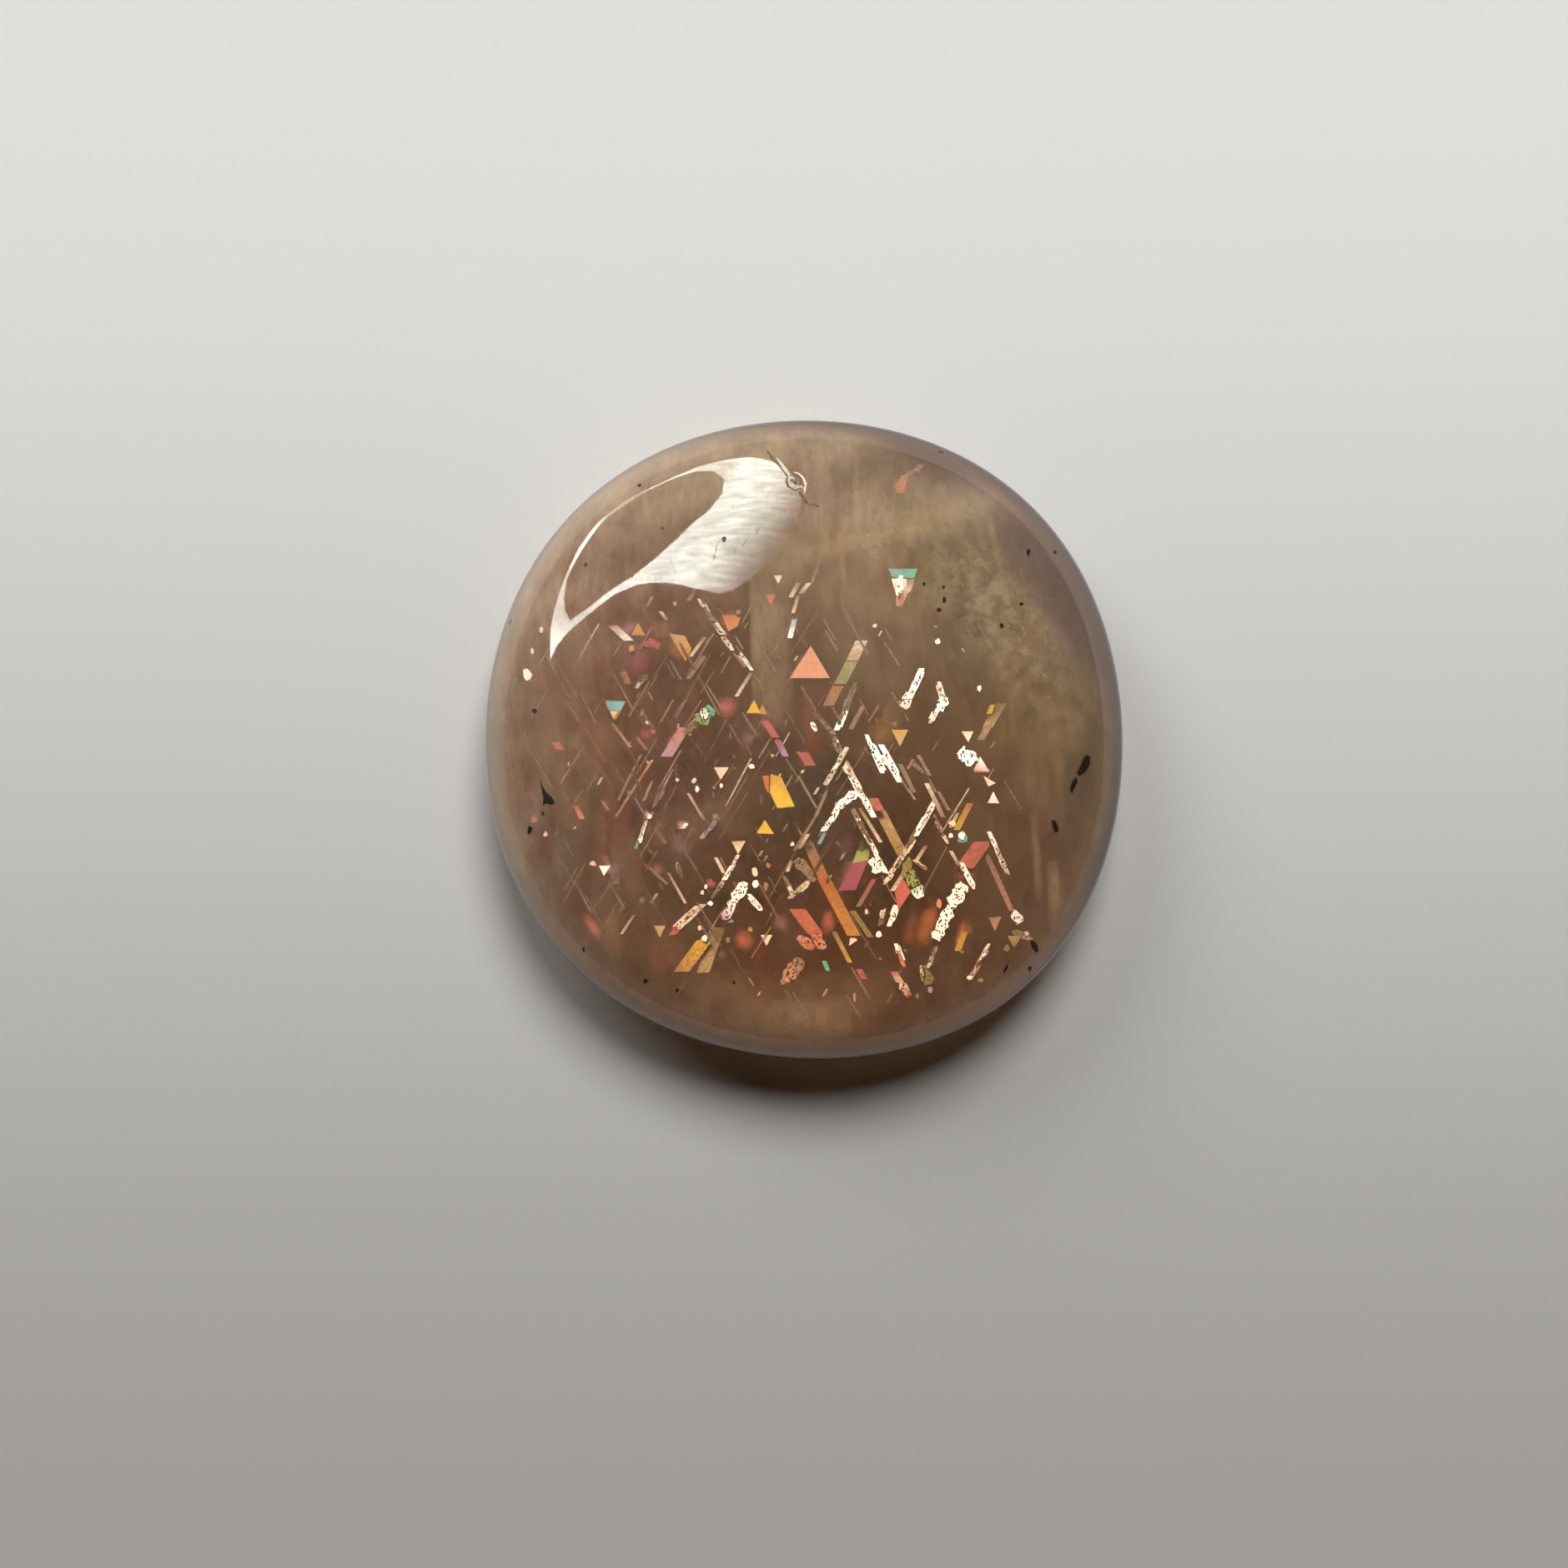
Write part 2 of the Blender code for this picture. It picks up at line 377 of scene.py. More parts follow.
def stoneMaterial():
    material, tree, shader = newMaterial("milkyFeldspar")
    texture = maths(tree, "MULTIPLY", patchy(tree, **milk["drifts"]), patchy(tree, **milk["flecks"]))
    rim = maths(tree, "SUBTRACT", 1.0, softSpot(tree, *milk["core"]))
    total = maths(tree, "MULTIPLY_ADD", rim, milk["rim"], milk["clear"])
    for *oval, level in milk["ovals"]:
        total = maths(tree, "MULTIPLY_ADD", softSpot(tree, *oval), level, total)
    total = maths(tree, "MULTIPLY", total, texture)
    grey = 0.0
    for *oval, level, share in milk["greyZones"]:
        near = softSpot(tree, *oval)
        grey = maths(tree, "MAXIMUM", maths(tree, "MULTIPLY", near, share), grey)
        total = maths(tree, "MULTIPLY_ADD", near, level, total)
    mottle = patchy(tree, **milk["mottle"])
    for *oval, level in milk["mottled"]:
        share = maths(tree, "MULTIPLY", mottle, level)
        total = maths(tree, "MULTIPLY_ADD", softSpot(tree, *oval), share, total)

    # More haze where the dome turns down to its edge, and a line round the very edge, coloured as painted
    # light and shade: pale on the left where light comes through, dark on the right, paler low where it is
    # dim
    across, away, height = axesOf(tree)
    above = ease(tree, height, *milk["aboveBelly"])
    edge = maths(tree, "MULTIPLY", ease(tree, height, *milk["edgeHeight"], 1.0, 0.0), above)
    line = maths(tree, "MULTIPLY", ease(tree, height, *milk["lineHeight"], 1.0, 0.0), above)
    total = maths(tree, "MULTIPLY_ADD", edge, milk["edge"], total)
    total = maths(tree, "MINIMUM", maths(tree, "MULTIPLY_ADD", line, milk["line"], total), 1.0)
    rosy = maths(tree, "MULTIPLY", softSpot(tree, *milk["rosyZone"]), patchy(tree, **milk["rosyPatches"]))
    colour = blended(tree, rosy, milk["beige"], milk["rosy"])
    for zone in ("warm", "olive"):
        colour = blended(tree, softSpot(tree, *milk[zone + "Zone"]), colour, milk[zone])
    colour = blended(tree, grey, colour, milk["grey"])
    # Painted light and shade: edge and line colours go from pale on the left to dark on the right, paler low
    # down
    right, low = ease(tree, across, *milk["rightSide"]), ease(tree, away, *milk["lowSide"], 1.0, 0.0)
    for band, share in (("edge", edge), ("line", line)):
        side = blended(tree, right, milk[band + "Left"], milk[band + "Right"])
        colour = blended(tree, share, colour, blended(tree, low, side, milk[band + "Low"]))
    feed(tree, colour, shader.inputs["Base Color"])
    clear = maths(tree, "SUBTRACT", 1.0, total)
    feed(tree, clear, shader.inputs["Transmission Weight"])
    shader.inputs["IOR"].default_value = stone["ior"]
    feed(tree, ease(tree, height, *stone["dullHeight"], *stone["roughness"]), shader.inputs["Roughness"])

    # Faint lines left by the polishing
    lines = stone["polishLines"]
    across = placed(tree, turn=lines["turn"], size=lines["size"])
    bumpFrom(tree, cloudy(tree, across, lines["scale"], lines["detail"]), shader, lines["deep"])

    absorb = tree.nodes.new("ShaderNodeVolumeAbsorption")
    absorb.inputs["Color"].default_value = (*absorption["colour"], 1.0)
    absorb.inputs["Density"].default_value = absorption["density"]
    feed(tree, absorb.outputs["Volume"], tree.nodes["Material Output"].inputs["Volume"])
    return material


body = addPiece("stoneBody", bodyMesh, [stoneMaterial()])
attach(body, "root")
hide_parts("sunstone")
print("stone body ready")

# Light: two soft suns and a fill for what is dull, a glow that shines into the stone, and a window that
# the dome mirrors. Azimuths are degrees from +X towards +Y, zenith angles are degrees from straight up
suns = {
    "keySun": {"azimuth": 78, "zenith": 35, "spread": 26, "level": 0.76, "colour": srgb(255, 255, 255)},
    "sideSun": {"azimuth": 128, "zenith": 55, "spread": 30, "level": 0.24, "colour": srgb(255, 255, 255)},
    "fillSun": {"azimuth": 90, "zenith": 0, "spread": 150, "level": 0.018, "colour": srgb(255, 190, 140)},
}
glow = {
    "azimuth": 106.0,
    "zenith": 38.0,
    "strength": 7.6,
    "inner": 8.0,
    "outer": 32.0,
    "distance": 0.5,
    "colour": srgb(220, 233, 255),
    "level": 2.5,  # the even light all round
    "segments": 48,
    "warm": srgb(250, 224, 196),
}


def towards(light):
    azimuth, zenith = math.radians(light["azimuth"]), math.radians(light["zenith"])
    flat = math.sin(zenith)
    return Vector((flat * math.cos(azimuth), flat * math.sin(azimuth), math.cos(zenith)))


# Crystals. The light comes down to a film and back through about twice its depth of stone
filmLight = {"path": 2.1, "share": 0.52, "brighter": {"silver": 2.4, "cream": 1.35}}
filmWear = {
    "dark": srgb(88, 62, 44),
    "patches": {"scale": 5.0, "low": 0.3, "high": 0.6, "most": 0.0, "turn": 30.0, "size": (1, 0.6, 1)},
    "gaps": {"scale": 9.0, "low": 0.5, "high": 0.58, "detail": 1.0},
    "mist": {"scale": 3.0, "low": 0.2, "high": 0.7, "least": 0.6, "turn": 60.0, "size": (1, 3, 1)},
}

# The tones that the films flash in
filmTones = {
    "bronze": srgb(160, 140, 122),
    "silver": srgb(255, 250, 242),
    "cream": srgb(238, 226, 204),
    "paleGold": srgb(216, 190, 138),
    "yellow": srgb(246, 212, 74),
    "gold": srgb(222, 166, 84),
    "orange": srgb(202, 128, 74),
    "peach": srgb(236, 172, 142),
    "coral": srgb(216, 126, 108),
    "rose": srgb(208, 112, 122),
    "magenta": srgb(168, 88, 122),
    "lilac": srgb(206, 172, 208),
    "sky": srgb(150, 200, 230),
    "turquoise": srgb(104, 222, 206),
    "green": srgb(170, 204, 122),
    "olive": srgb(158, 146, 86),
}


def flashPlane(px, py, deep):
    # A point this many mm under the dome, and how a film there lies to mirror the glow to the camera
    point, line = bentLine(px, py)
    glowLine = refracted(-towards(glow), domeNormal(point), 1 / stone["ior"])
    return point + line * (deep * mm / -line.z), (-line - glowLine).normalized()


def onPlane(px, py, plane):
    point, line = bentLine(px, py)
    return point + line * ((plane[0] - point).dot(plane[1]) / line.dot(plane[1]))


def toneAt(name, deep, bright):
    # The film's own colour, so that it shows this tone through so many mm of stone
    path = filmLight["path"] * deep * mm * absorption["density"]
    bright *= filmLight["share"] * filmLight["brighter"].get(name, 1.0)
    both = zip(filmTones[name], absorption["colour"])
    return Vector([min(1.0, c * bright * math.exp((1 - a) * path)) for c, a in both] + [1.0])


def startPlates():
    bm = bmesh.new()
    return bm, bm.verts.layers.float_color.new("tone"), bm.verts.layers.float.new("edge")


def addPlate(plates, corners, tones, deep, axis=None, plane=None, bright=1.0):
    # A flat film with these corners in the photograph. Its tone changes along the axis
    bm, toneLayer, edgeLayer = plates
    if plane is None:
        middle = sum((Vector(c) for c in corners), Vector((0, 0))) / len(corners)
        plane = flashPlane(middle.x, middle.y, deep)
    names = tones.split()
    first, last = toneAt(names[0], deep, bright), toneAt(names[-1], deep, bright)
    start, end = (Vector(p) for p in axis or (corners[0], corners[-1]))
    run = end - start
    verts = []
    for corner in corners:
        vert = bm.verts.new(onPlane(*corner, plane))
        share = min(1.0, max(0.0, (Vector(corner) - start).dot(run) / run.length_squared))
        vert[toneLayer] = first.lerp(last, share)
        vert[edgeLayer] = 1.0
        verts.append(vert)
    face = bm.faces.new(verts)
    face.normal_update()
    if face.normal.dot(plane[1]) < 0:
        face.normal_flip()
    return face


filmEdges = {"steep": 0.5, "step": 5, "ends": 0.55, "wide": (0.5, 1.15), "lean": 20, "reach": (0.65, 1.15)}


def barCorners(start, end, wide):
    # A straight bar whose ends are cut level, as the lattice cuts them
    run = (end - start).normalized()
    side = Vector((-run.y, run.x)) * wide / 2
    slant = run * (side.y / run.y) if abs(run.y) > filmEdges["steep"] else Vector((0, 0))
    corners = (start + side - slant, end + side - slant, end - side + slant, start - side + slant)
    return [tuple(p) for p in corners]


def raggedCorners(start, end, wide, chance):
    # A grown bar with an uneven edge
    run = end - start
    steps = max(3, round(run.length / filmEdges["step"]))
    side = Vector((-run.y, run.x)).normalized() * wide / 2
    left, right = [], []
    for i in range(steps + 1):
        middle = start + run * (i / steps)
        near = filmEdges["ends"] if i in (0, steps) else 1.0
        left.append(tuple(middle + side * near * chance.uniform(*filmEdges["wide"])))
        right.append(tuple(middle - side * near * chance.uniform(*filmEdges["wide"])))
    return left + right[::-1]


def beadCorners(px, py, wide, tall, chance, sides=7):
    # An uneven rounded grain
    corners = []
    for i in range(sides):
        lean = chance.uniform(-filmEdges["lean"], filmEdges["lean"])
        turn = math.radians(i * 360 / sides + lean)
        reach = chance.uniform(*filmEdges["reach"]) / 2
        corners.append((px + wide * reach * math.cos(turn), py + tall * reach * math.sin(turn)))
    return corners


def rowsOf(piece):
    # Where each film starts and ends, its width, its tones from start to end and its depth
    for x1, y1, x2, y2, wide, tones, deep in piece["places"]:
        yield Vector((x1, y1)), Vector((x2, y2)), wide, tones, deep


def attribute(tree, name, output):
    reader = tree.nodes.new("ShaderNodeAttribute")
    reader.attribute_name = name
    return reader.outputs[output]


def filmMaterial(name, rough, shade, pits, metal=0.9, fade=0.0):
    # shade darkens uneven patches, pits are small dark gaps in the film, fade is how solid the middle is
    material, tree, shader = newMaterial(name)
    dark = patchy(tree, least=shade, **filmWear["patches"])
    if pits:
        dark = maths(tree, "MAXIMUM", dark, patchy(tree, most=pits, **filmWear["gaps"]))
    colour = blended(tree, dark, attribute(tree, "tone", "Color"), filmWear["dark"])
    feed(tree, colour, shader.inputs["Base Color"])
    shader.inputs["Metallic"].default_value = metal
    shader.inputs["Roughness"].default_value = rough
    if fade:
        inside = ease(tree, attribute(tree, "edge", "Fac"), 0.0, 1.0, 0.0, fade)
        misty = maths(tree, "MULTIPLY", inside, patchy(tree, **filmWear["mist"]))
        feed(tree, misty, shader.inputs["Alpha"])
    return material


def finishPlates(name, plates, given):
    piece = addPiece(name, plates[0], [filmMaterial(**given["film"])], smooth=False)
    solid = piece.modifiers.new("thickness", "SOLIDIFY")
    solid.thickness = given["thick"] * mm
    solid.offset = -1.0
    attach(piece, "root")


# Flat facets with sharp edges: corners, tones from the first corner to the last, depth in mm
facets = {
    "film": {"name": "cleanFilm", "rough": 0.2, "shade": 0.15, "pits": 0.0},
    "thick": 0.02,
    "places": [
        ([(972, 774), (995, 813), (947, 813)], "peach", 0.9),
        ([(904, 839), (912, 855), (895, 855)], "yellow", 0.7),
        ([(914, 845), (920, 856), (909, 856)], "gold", 0.7),
        ([(765, 747), (774, 762), (757, 761)], "gold", 0.9),
        ([(856, 920), (874, 920), (864, 935)], "cream", 0.8),
        ([(1069, 875), (1089, 875), (1079, 895)], "gold paleGold", 0.9),
        ([(1153, 877), (1167, 877), (1161, 890)], "cream", 0.8),
        ([(1175, 907), (1186, 925), (1167, 924)], "silver peach", 0.9),
        ([(1173, 922), (1187, 922), (1186, 926), (1167, 926)], "orange coral", 0.85),
        ([(1179, 930), (1194, 939), (1185, 943)], "cream", 0.8),
        ([(1191, 949), (1198, 963), (1184, 963)], "silver cream", 0.8),
        ([(917, 983), (928, 1000), (907, 999)], "yellow", 0.8),
        ([(877, 1009), (894, 1008), (885, 1024)], "paleGold cream", 0.9),
        ([(718, 1038), (732, 1038), (724, 1050)], "silver", 0.8),
        ([(784, 1110), (798, 1110), (791, 1124)], "paleGold", 1),
        ([(912, 1121), (926, 1121), (919, 1134)], "cream", 1.2),
        ([(928, 690), (938, 690), (933, 700)], "cream", 1),
        ([(918, 713), (930, 713), (924, 726)], "coral", 1.3),
        ([(1208, 1122), (1225, 1122), (1216, 1137)], "paleGold olive", 1.2),
        ([(1185, 1100), (1201, 1099), (1193, 1116)], "bronze peach", 1.8),
        ([(1020, 1120), (1028, 1127), (1018, 1134)], "cream", 1),
        ([(924, 928), (937, 932), (953, 967), (932, 969), (923, 950)], "gold yellow", 0.9),
        ([(914, 930), (922, 930), (922, 952), (918, 946)], "orange", 1),
        ([(802, 760), (821, 762), (829, 778), (822, 793)], "paleGold gold", 1.6),
        ([(1065, 682), (1100, 682), (1096, 693), (1070, 692)], "sky turquoise", 0.8),
        ([(1069, 694), (1087, 694), (1088, 712), (1081, 728), (1075, 716)], "silver peach", 0.8),
        ([(1088, 695), (1097, 694), (1092, 709), (1088, 711)], "bronze cream", 0.8),
        ([(866, 738), (889, 737), (884, 751), (873, 757)], "coral gold", 1.3),
        ([(771, 768), (792, 771), (788, 777), (773, 775)], "magenta rose", 1.1),
        ([(1082, 1052), (1092, 1069), (1077, 1092), (1072, 1066)], "coral rose", 1),
        ([(1046, 1004), (1032, 1008), (1022, 1035), (1041, 1031)], "olive green", 2),
        ([(726, 840), (750, 841), (744, 852), (729, 851)], "turquoise sky", 0.9),
        ([(731, 852), (744, 853), (736, 863)], "cream yellow", 0.9),
        ([(1041, 1031), (1022, 1035), (1005, 1068), (1026, 1067)], "magenta", 1.7),
    ],
}

# Straight bars: from x, y to x, y, width, tones along it, depth in mm
bars = {
    "film": {"name": "barFilm", "rough": 0.22, "shade": 0.35, "pits": 0.35},
    "thick": 0.02,
    "places": [
        (845, 1127, 817, 1165, 15, "yellow gold", 0.9), (862, 1112, 843, 1166, 14, "olive paleGold", 1.5),
        (968, 1010, 988, 1054, 12, "bronze orange", 1.8), (988, 1054, 1024, 1122, 14, "orange gold", 1.2),
        (1022, 1092, 1044, 1124, 6, "olive", 1.4), (1000, 1117, 1019, 1154, 5, "bronze yellow", 0.9),
        (1163, 963, 1147, 995, 7, "orange yellow", 0.8), (1157, 1117, 1148, 1140, 7, "gold yellow", 1.1),
        (1033, 768, 1022, 792, 13, "cream paleGold", 1.1),
        (1022, 792, 1007, 820, 13, "green bronze", 1.1), (1005, 822, 993, 846, 12, "orange bronze", 1.2),
        (1047, 957, 1055, 972, 10, "coral", 1), (1055, 972, 1088, 1036, 12, "paleGold olive", 1.5),
        (992, 992, 982, 1012, 4, "sky", 0.8), (956, 1090, 977, 1119, 16, "coral", 1.1),
        (1179, 1009, 1156, 1041, 18, "coral", 1.3), (917, 864, 930, 884, 8, "rose", 1),
        (932, 887, 942, 907, 7, "magenta lilac", 1), (734, 750, 754, 768, 8, "lilac silver", 1.2),
        (777, 768, 791, 775, 8, "rose", 1), (821, 872, 799, 907, 12, "peach lilac", 1.2),
        (805, 922, 786, 962, 5, "lilac bronze", 1.1), (782, 911, 738, 980, 3, "peach bronze", 1.3),
        (812, 989, 822, 989, 9, "orange silver", 1.4), (957, 699, 948, 716, 5, "bronze cream", 1.2),
        (970, 699, 960, 712, 5, "cream bronze", 1.2), (953, 742, 947, 765, 6, "sky silver", 0.9),
        (1201, 843, 1184, 872, 11, "bronze paleGold", 1), (1186, 869, 1176, 887, 8, "peach bronze", 1),
        (1190, 845, 1186, 856, 6, "yellow", 0.9), (1078, 591, 1085, 570, 9, "coral", 0.4),
        (1086, 571, 1096, 564, 5, "coral bronze", 0.4), (1097, 566, 1104, 557, 7, "coral cream", 0.4),
        (747, 805, 753, 820, 7, "peach bronze", 1.4), (725, 1026, 739, 1060, 8, "magenta bronze", 1.6),
        (988, 1152, 993, 1164, 5, "turquoise", 1.3), (870, 1096, 876, 1106, 7, "green turquoise", 0.8),
        (1072, 1165, 1079, 1178, 8, "rose cream", 0.9), (1030, 1162, 1036, 1174, 7, "rose", 1.2),
        (962, 902, 972, 918, 11, "rose coral", 1.5), (666, 890, 672, 899, 8, "coral rose", 0.8),
        (690, 966, 698, 982, 6, "rose peach", 1),
    ],
}

# Grown silver bars with uneven edges and small gaps, in the same order. Each is a dark plate offset to the
# lower right as a painted shadow, a bright skin if it is wide, grains and gaps
silver = {
    "film": {"name": "grownSilver", "rough": 0.2, "shade": 0.1, "pits": 0.0},
    "thick": 0.015,
    "seed": 7,
    "shadowBed": {"extra": 3.4, "bright": 0.08, "below": 0.08, "shadowShift": (0.9, 0.9)},
    "skin": {"extra": 1.0, "bright": 0.95, "below": 0.012},
    "slim": 10.5,
    "fine": {"low": 0.42, "high": 0.82, "every": 0.24, "spread": 0.24, "dim": 0.5},
    "coarse": {"low": 0.12, "high": 0.26, "every": 0.1, "spread": 0.4, "dim": 0.7},
    "gap": {
        "low": 1.2, "high": 2.6, "spacing": 17.0, "bright": 0.1, "above": 0.03, "tall": 1.3, "sides": 5,
        "along": (0.05, 0.95),
    },
    "lift": 0.01,
    "along": (0.2, 0.8),
    "rodlet": {"long": (0.6, 1.5), "most": 0.36, "wide": 0.8},
    "fleck": {"tall": (0.8, 1.4), "sides": 8},
    "places": [
        (841, 721, 853, 741, 8, "cream bronze", 1), (853, 741, 866, 760, 9, "bronze cream", 1.1),
        (866, 761, 877, 778, 6, "cream", 1.2), (889, 785, 901, 802, 5, "cream silver", 1),
        (1026, 823, 1018, 838, 9, "bronze", 1.3), (1018, 838, 1006, 872, 9, "bronze silver", 1.2),
        (974, 867, 978, 875, 6, "silver cream", 0.8), (977, 856, 997, 877, 6, "bronze", 1),
        (997, 877, 1007, 902, 9, "cream bronze", 1), (1014, 899, 990, 940, 7, "cream", 0.7),
        (1014, 918, 1046, 976, 9, "cream silver", 0.8), (1041, 886, 1057, 921, 10, "silver", 0.7),
        (1060, 902, 1076, 930, 10, "silver", 0.7), (1052, 908, 1064, 914, 8, "silver", 0.7),
        (1150, 900, 1168, 914, 18, "silver", 0.8), (1026, 950, 1006, 967, 11, "silver", 0.8),
        (1006, 967, 988, 996, 8, "silver", 0.8), (1119, 965, 1099, 999, 8, "cream silver", 1),
        (1099, 999, 1064, 1056, 8, "bronze cream", 1), (1023, 972, 1061, 1045, 7, "bronze silver", 0.9),
        (1044, 1030, 1054, 1046, 13, "silver", 0.7), (1153, 1037, 1168, 1064, 7, "silver", 0.8),
        (1120, 980, 1135, 1009, 5, "bronze cream", 1), (1188, 1003, 1208, 1047, 7, "silver cream", 0.8),
        (1156, 1060, 1141, 1086, 18, "silver", 0.7), (1140, 1086, 1122, 1126, 15, "silver", 0.7),
        (1104, 806, 1092, 832, 10, "silver", 0.8), (1092, 832, 1082, 848, 14, "silver cream", 0.8),
        (1126, 822, 1132, 842, 8, "cream silver", 0.8), (1132, 836, 1127, 852, 14, "silver", 0.8),
        (1122, 852, 1116, 864, 8, "silver cream", 0.8), (860, 982, 843, 1003, 6, "bronze lilac", 1.1),
        (794, 951, 785, 964, 5, "cream bronze", 1), (777, 976, 767, 1008, 5, "cream silver", 0.8),
        (768, 1004, 763, 1016, 5, "green turquoise", 0.8), (894, 1058, 880, 1080, 13, "silver", 0.7),
        (880, 1080, 867, 1102, 12, "silver lilac", 0.7), (899, 1075, 911, 1089, 8, "silver", 0.7),
        (835, 1090, 808, 1116, 10, "cream rose", 1), (955, 1030, 977, 1057, 12, "bronze", 1),
        (950, 1074, 967, 1060, 7, "cream", 0.8), (942, 1054, 950, 1072, 6, "bronze cream", 0.9),
        (885, 1026, 870, 1052, 6, "cream silver", 0.9), (1184, 1136, 1176, 1150, 7, "silver peach", 0.8),
        (1175, 1152, 1164, 1172, 7, "cream peach", 1.1), (1079, 697, 1079, 722, 9, "silver peach", 0.75),
        (1122, 1136, 1115, 1158, 7, "bronze cream", 1.2),
        (1107, 1158, 1114, 1180, 15, "bronze olive", 1.2),
        (1104, 1158, 1106, 1174, 4, "cream green", 1.1), (1076, 1134, 1083, 1154, 7, "silver peach", 0.8),
        (1080, 1178, 1090, 1195, 11, "cream coral", 0.7), (1216, 1092, 1224, 1106, 13, "silver", 0.8),
        (827, 875, 840, 862, 10, "bronze green", 1), (838, 866, 853, 848, 18, "green turquoise", 0.9),
        (842, 860, 850, 850, 14, "silver green", 0.85), (1084, 1034, 1098, 1062, 15, "olive green", 0.9),
        (1097, 1060, 1104, 1076, 15, "turquoise silver", 0.8),
        (970, 1112, 989, 1137, 15, "coral peach", 0.9), (1104, 926, 1096, 916, 7, "bronze", 1.2),
        (1218, 1118, 1233, 1124, 9, "bronze cream", 1.2), (961, 1150, 941, 1176, 16, "bronze peach", 1.3),
        (771, 811, 766, 822, 9, "bronze cream", 1.2), (1059, 1092, 1056, 1106, 7, "cream bronze", 1),
        (1074, 1090, 1068, 1106, 10, "silver", 0.8), (866, 1058, 856, 1074, 6, "cream bronze", 1),
        (956, 1124, 976, 1137, 12, "peach coral", 0.8), (812, 1037, 816, 1050, 6, "cream bronze", 1),
        (1109, 1041, 1098, 1033, 5, "bronze cream", 1),
    ],
}

# Thin rods, most of them dull, in the same order
rods = {
    "film": {"name": "dullRod", "rough": 0.24, "shade": 0.35, "pits": 0.35},
    "thick": 0.025,
    "places": [
        (901, 806, 883, 835, 4, "bronze cream", 1.1), (845, 764, 828, 787, 4, "bronze cream", 1.3),
        (844, 787, 825, 814, 5, "bronze", 1.3), (1035, 846, 1020, 874, 5, "bronze", 1.2),
        (1010, 905, 978, 979, 4, "bronze", 1.2), (978, 979, 952, 1020, 3, "bronze", 1.2),
        (1079, 916, 1096, 950, 5, "bronze", 1.3), (1101, 905, 1115, 930, 4, "bronze", 1.3),
        (1111, 939, 1131, 980, 5, "cream bronze", 1), (1125, 949, 1138, 972, 4, "bronze", 1.1),
        (1031, 969, 1056, 1010, 4, "bronze cream", 1), (1110, 1014, 1098, 1033, 4, "bronze cream", 1.1),
        (1140, 1020, 1150, 1038, 4, "cream bronze", 0.9),
        (1181, 1021, 1213, 1092, 6, "bronze peach", 1.4), (825, 951, 844, 983, 3, "cream bronze", 1.1),
        (734, 867, 756, 896, 3, "bronze peach", 1.3), (764, 884, 775, 899, 3, "rose bronze", 1.2),
        (785, 992, 798, 1011, 3, "bronze", 1.3), (801, 1046, 822, 1083, 3, "bronze cream", 1.2),
        (957, 930, 979, 969, 3, "bronze", 1.3), (858, 1028, 868, 1047, 4, "cream", 0.9),
        (760, 1097, 745, 1120, 3, "bronze cream", 1.1), (969, 1000, 958, 1018, 4, "cream bronze", 1),
        (949, 1032, 944, 1045, 4, "bronze cream", 1), (1048, 1054, 1029, 1087, 5, "rose bronze", 1.1),
        (1088, 1040, 1070, 1068, 5, "bronze cream", 1.1), (957, 714, 951, 735, 4, "bronze cream", 1.2),
        (984, 668, 973, 700, 3, "bronze", 1.5), (792, 733, 799, 743, 4, "cream bronze", 1.2),
        (833, 707, 826, 720, 5, "bronze peach", 1.3), (782, 715, 776, 727, 4, "peach bronze", 1.3),
        (896, 800, 886, 786, 3, "bronze cream", 1.1), (866, 764, 893, 800, 3, "bronze", 1.3),
        (978, 852, 958, 818, 2.5, "bronze", 1.5), (1014, 910, 1024, 930, 3, "orange cream", 1),
        (782, 936, 772, 960, 3, "bronze cream", 1.2), (768, 905, 741, 960, 3, "bronze", 1.7),
        (700, 745, 720, 790, 2.5, "bronze", 1.7), (772, 1035, 800, 1060, 3, "bronze", 1.5),
        (1100, 905, 1122, 950, 2.5, "bronze", 1.6), (1148, 975, 1140, 992, 4, "green cream", 0.9),
    ],
}

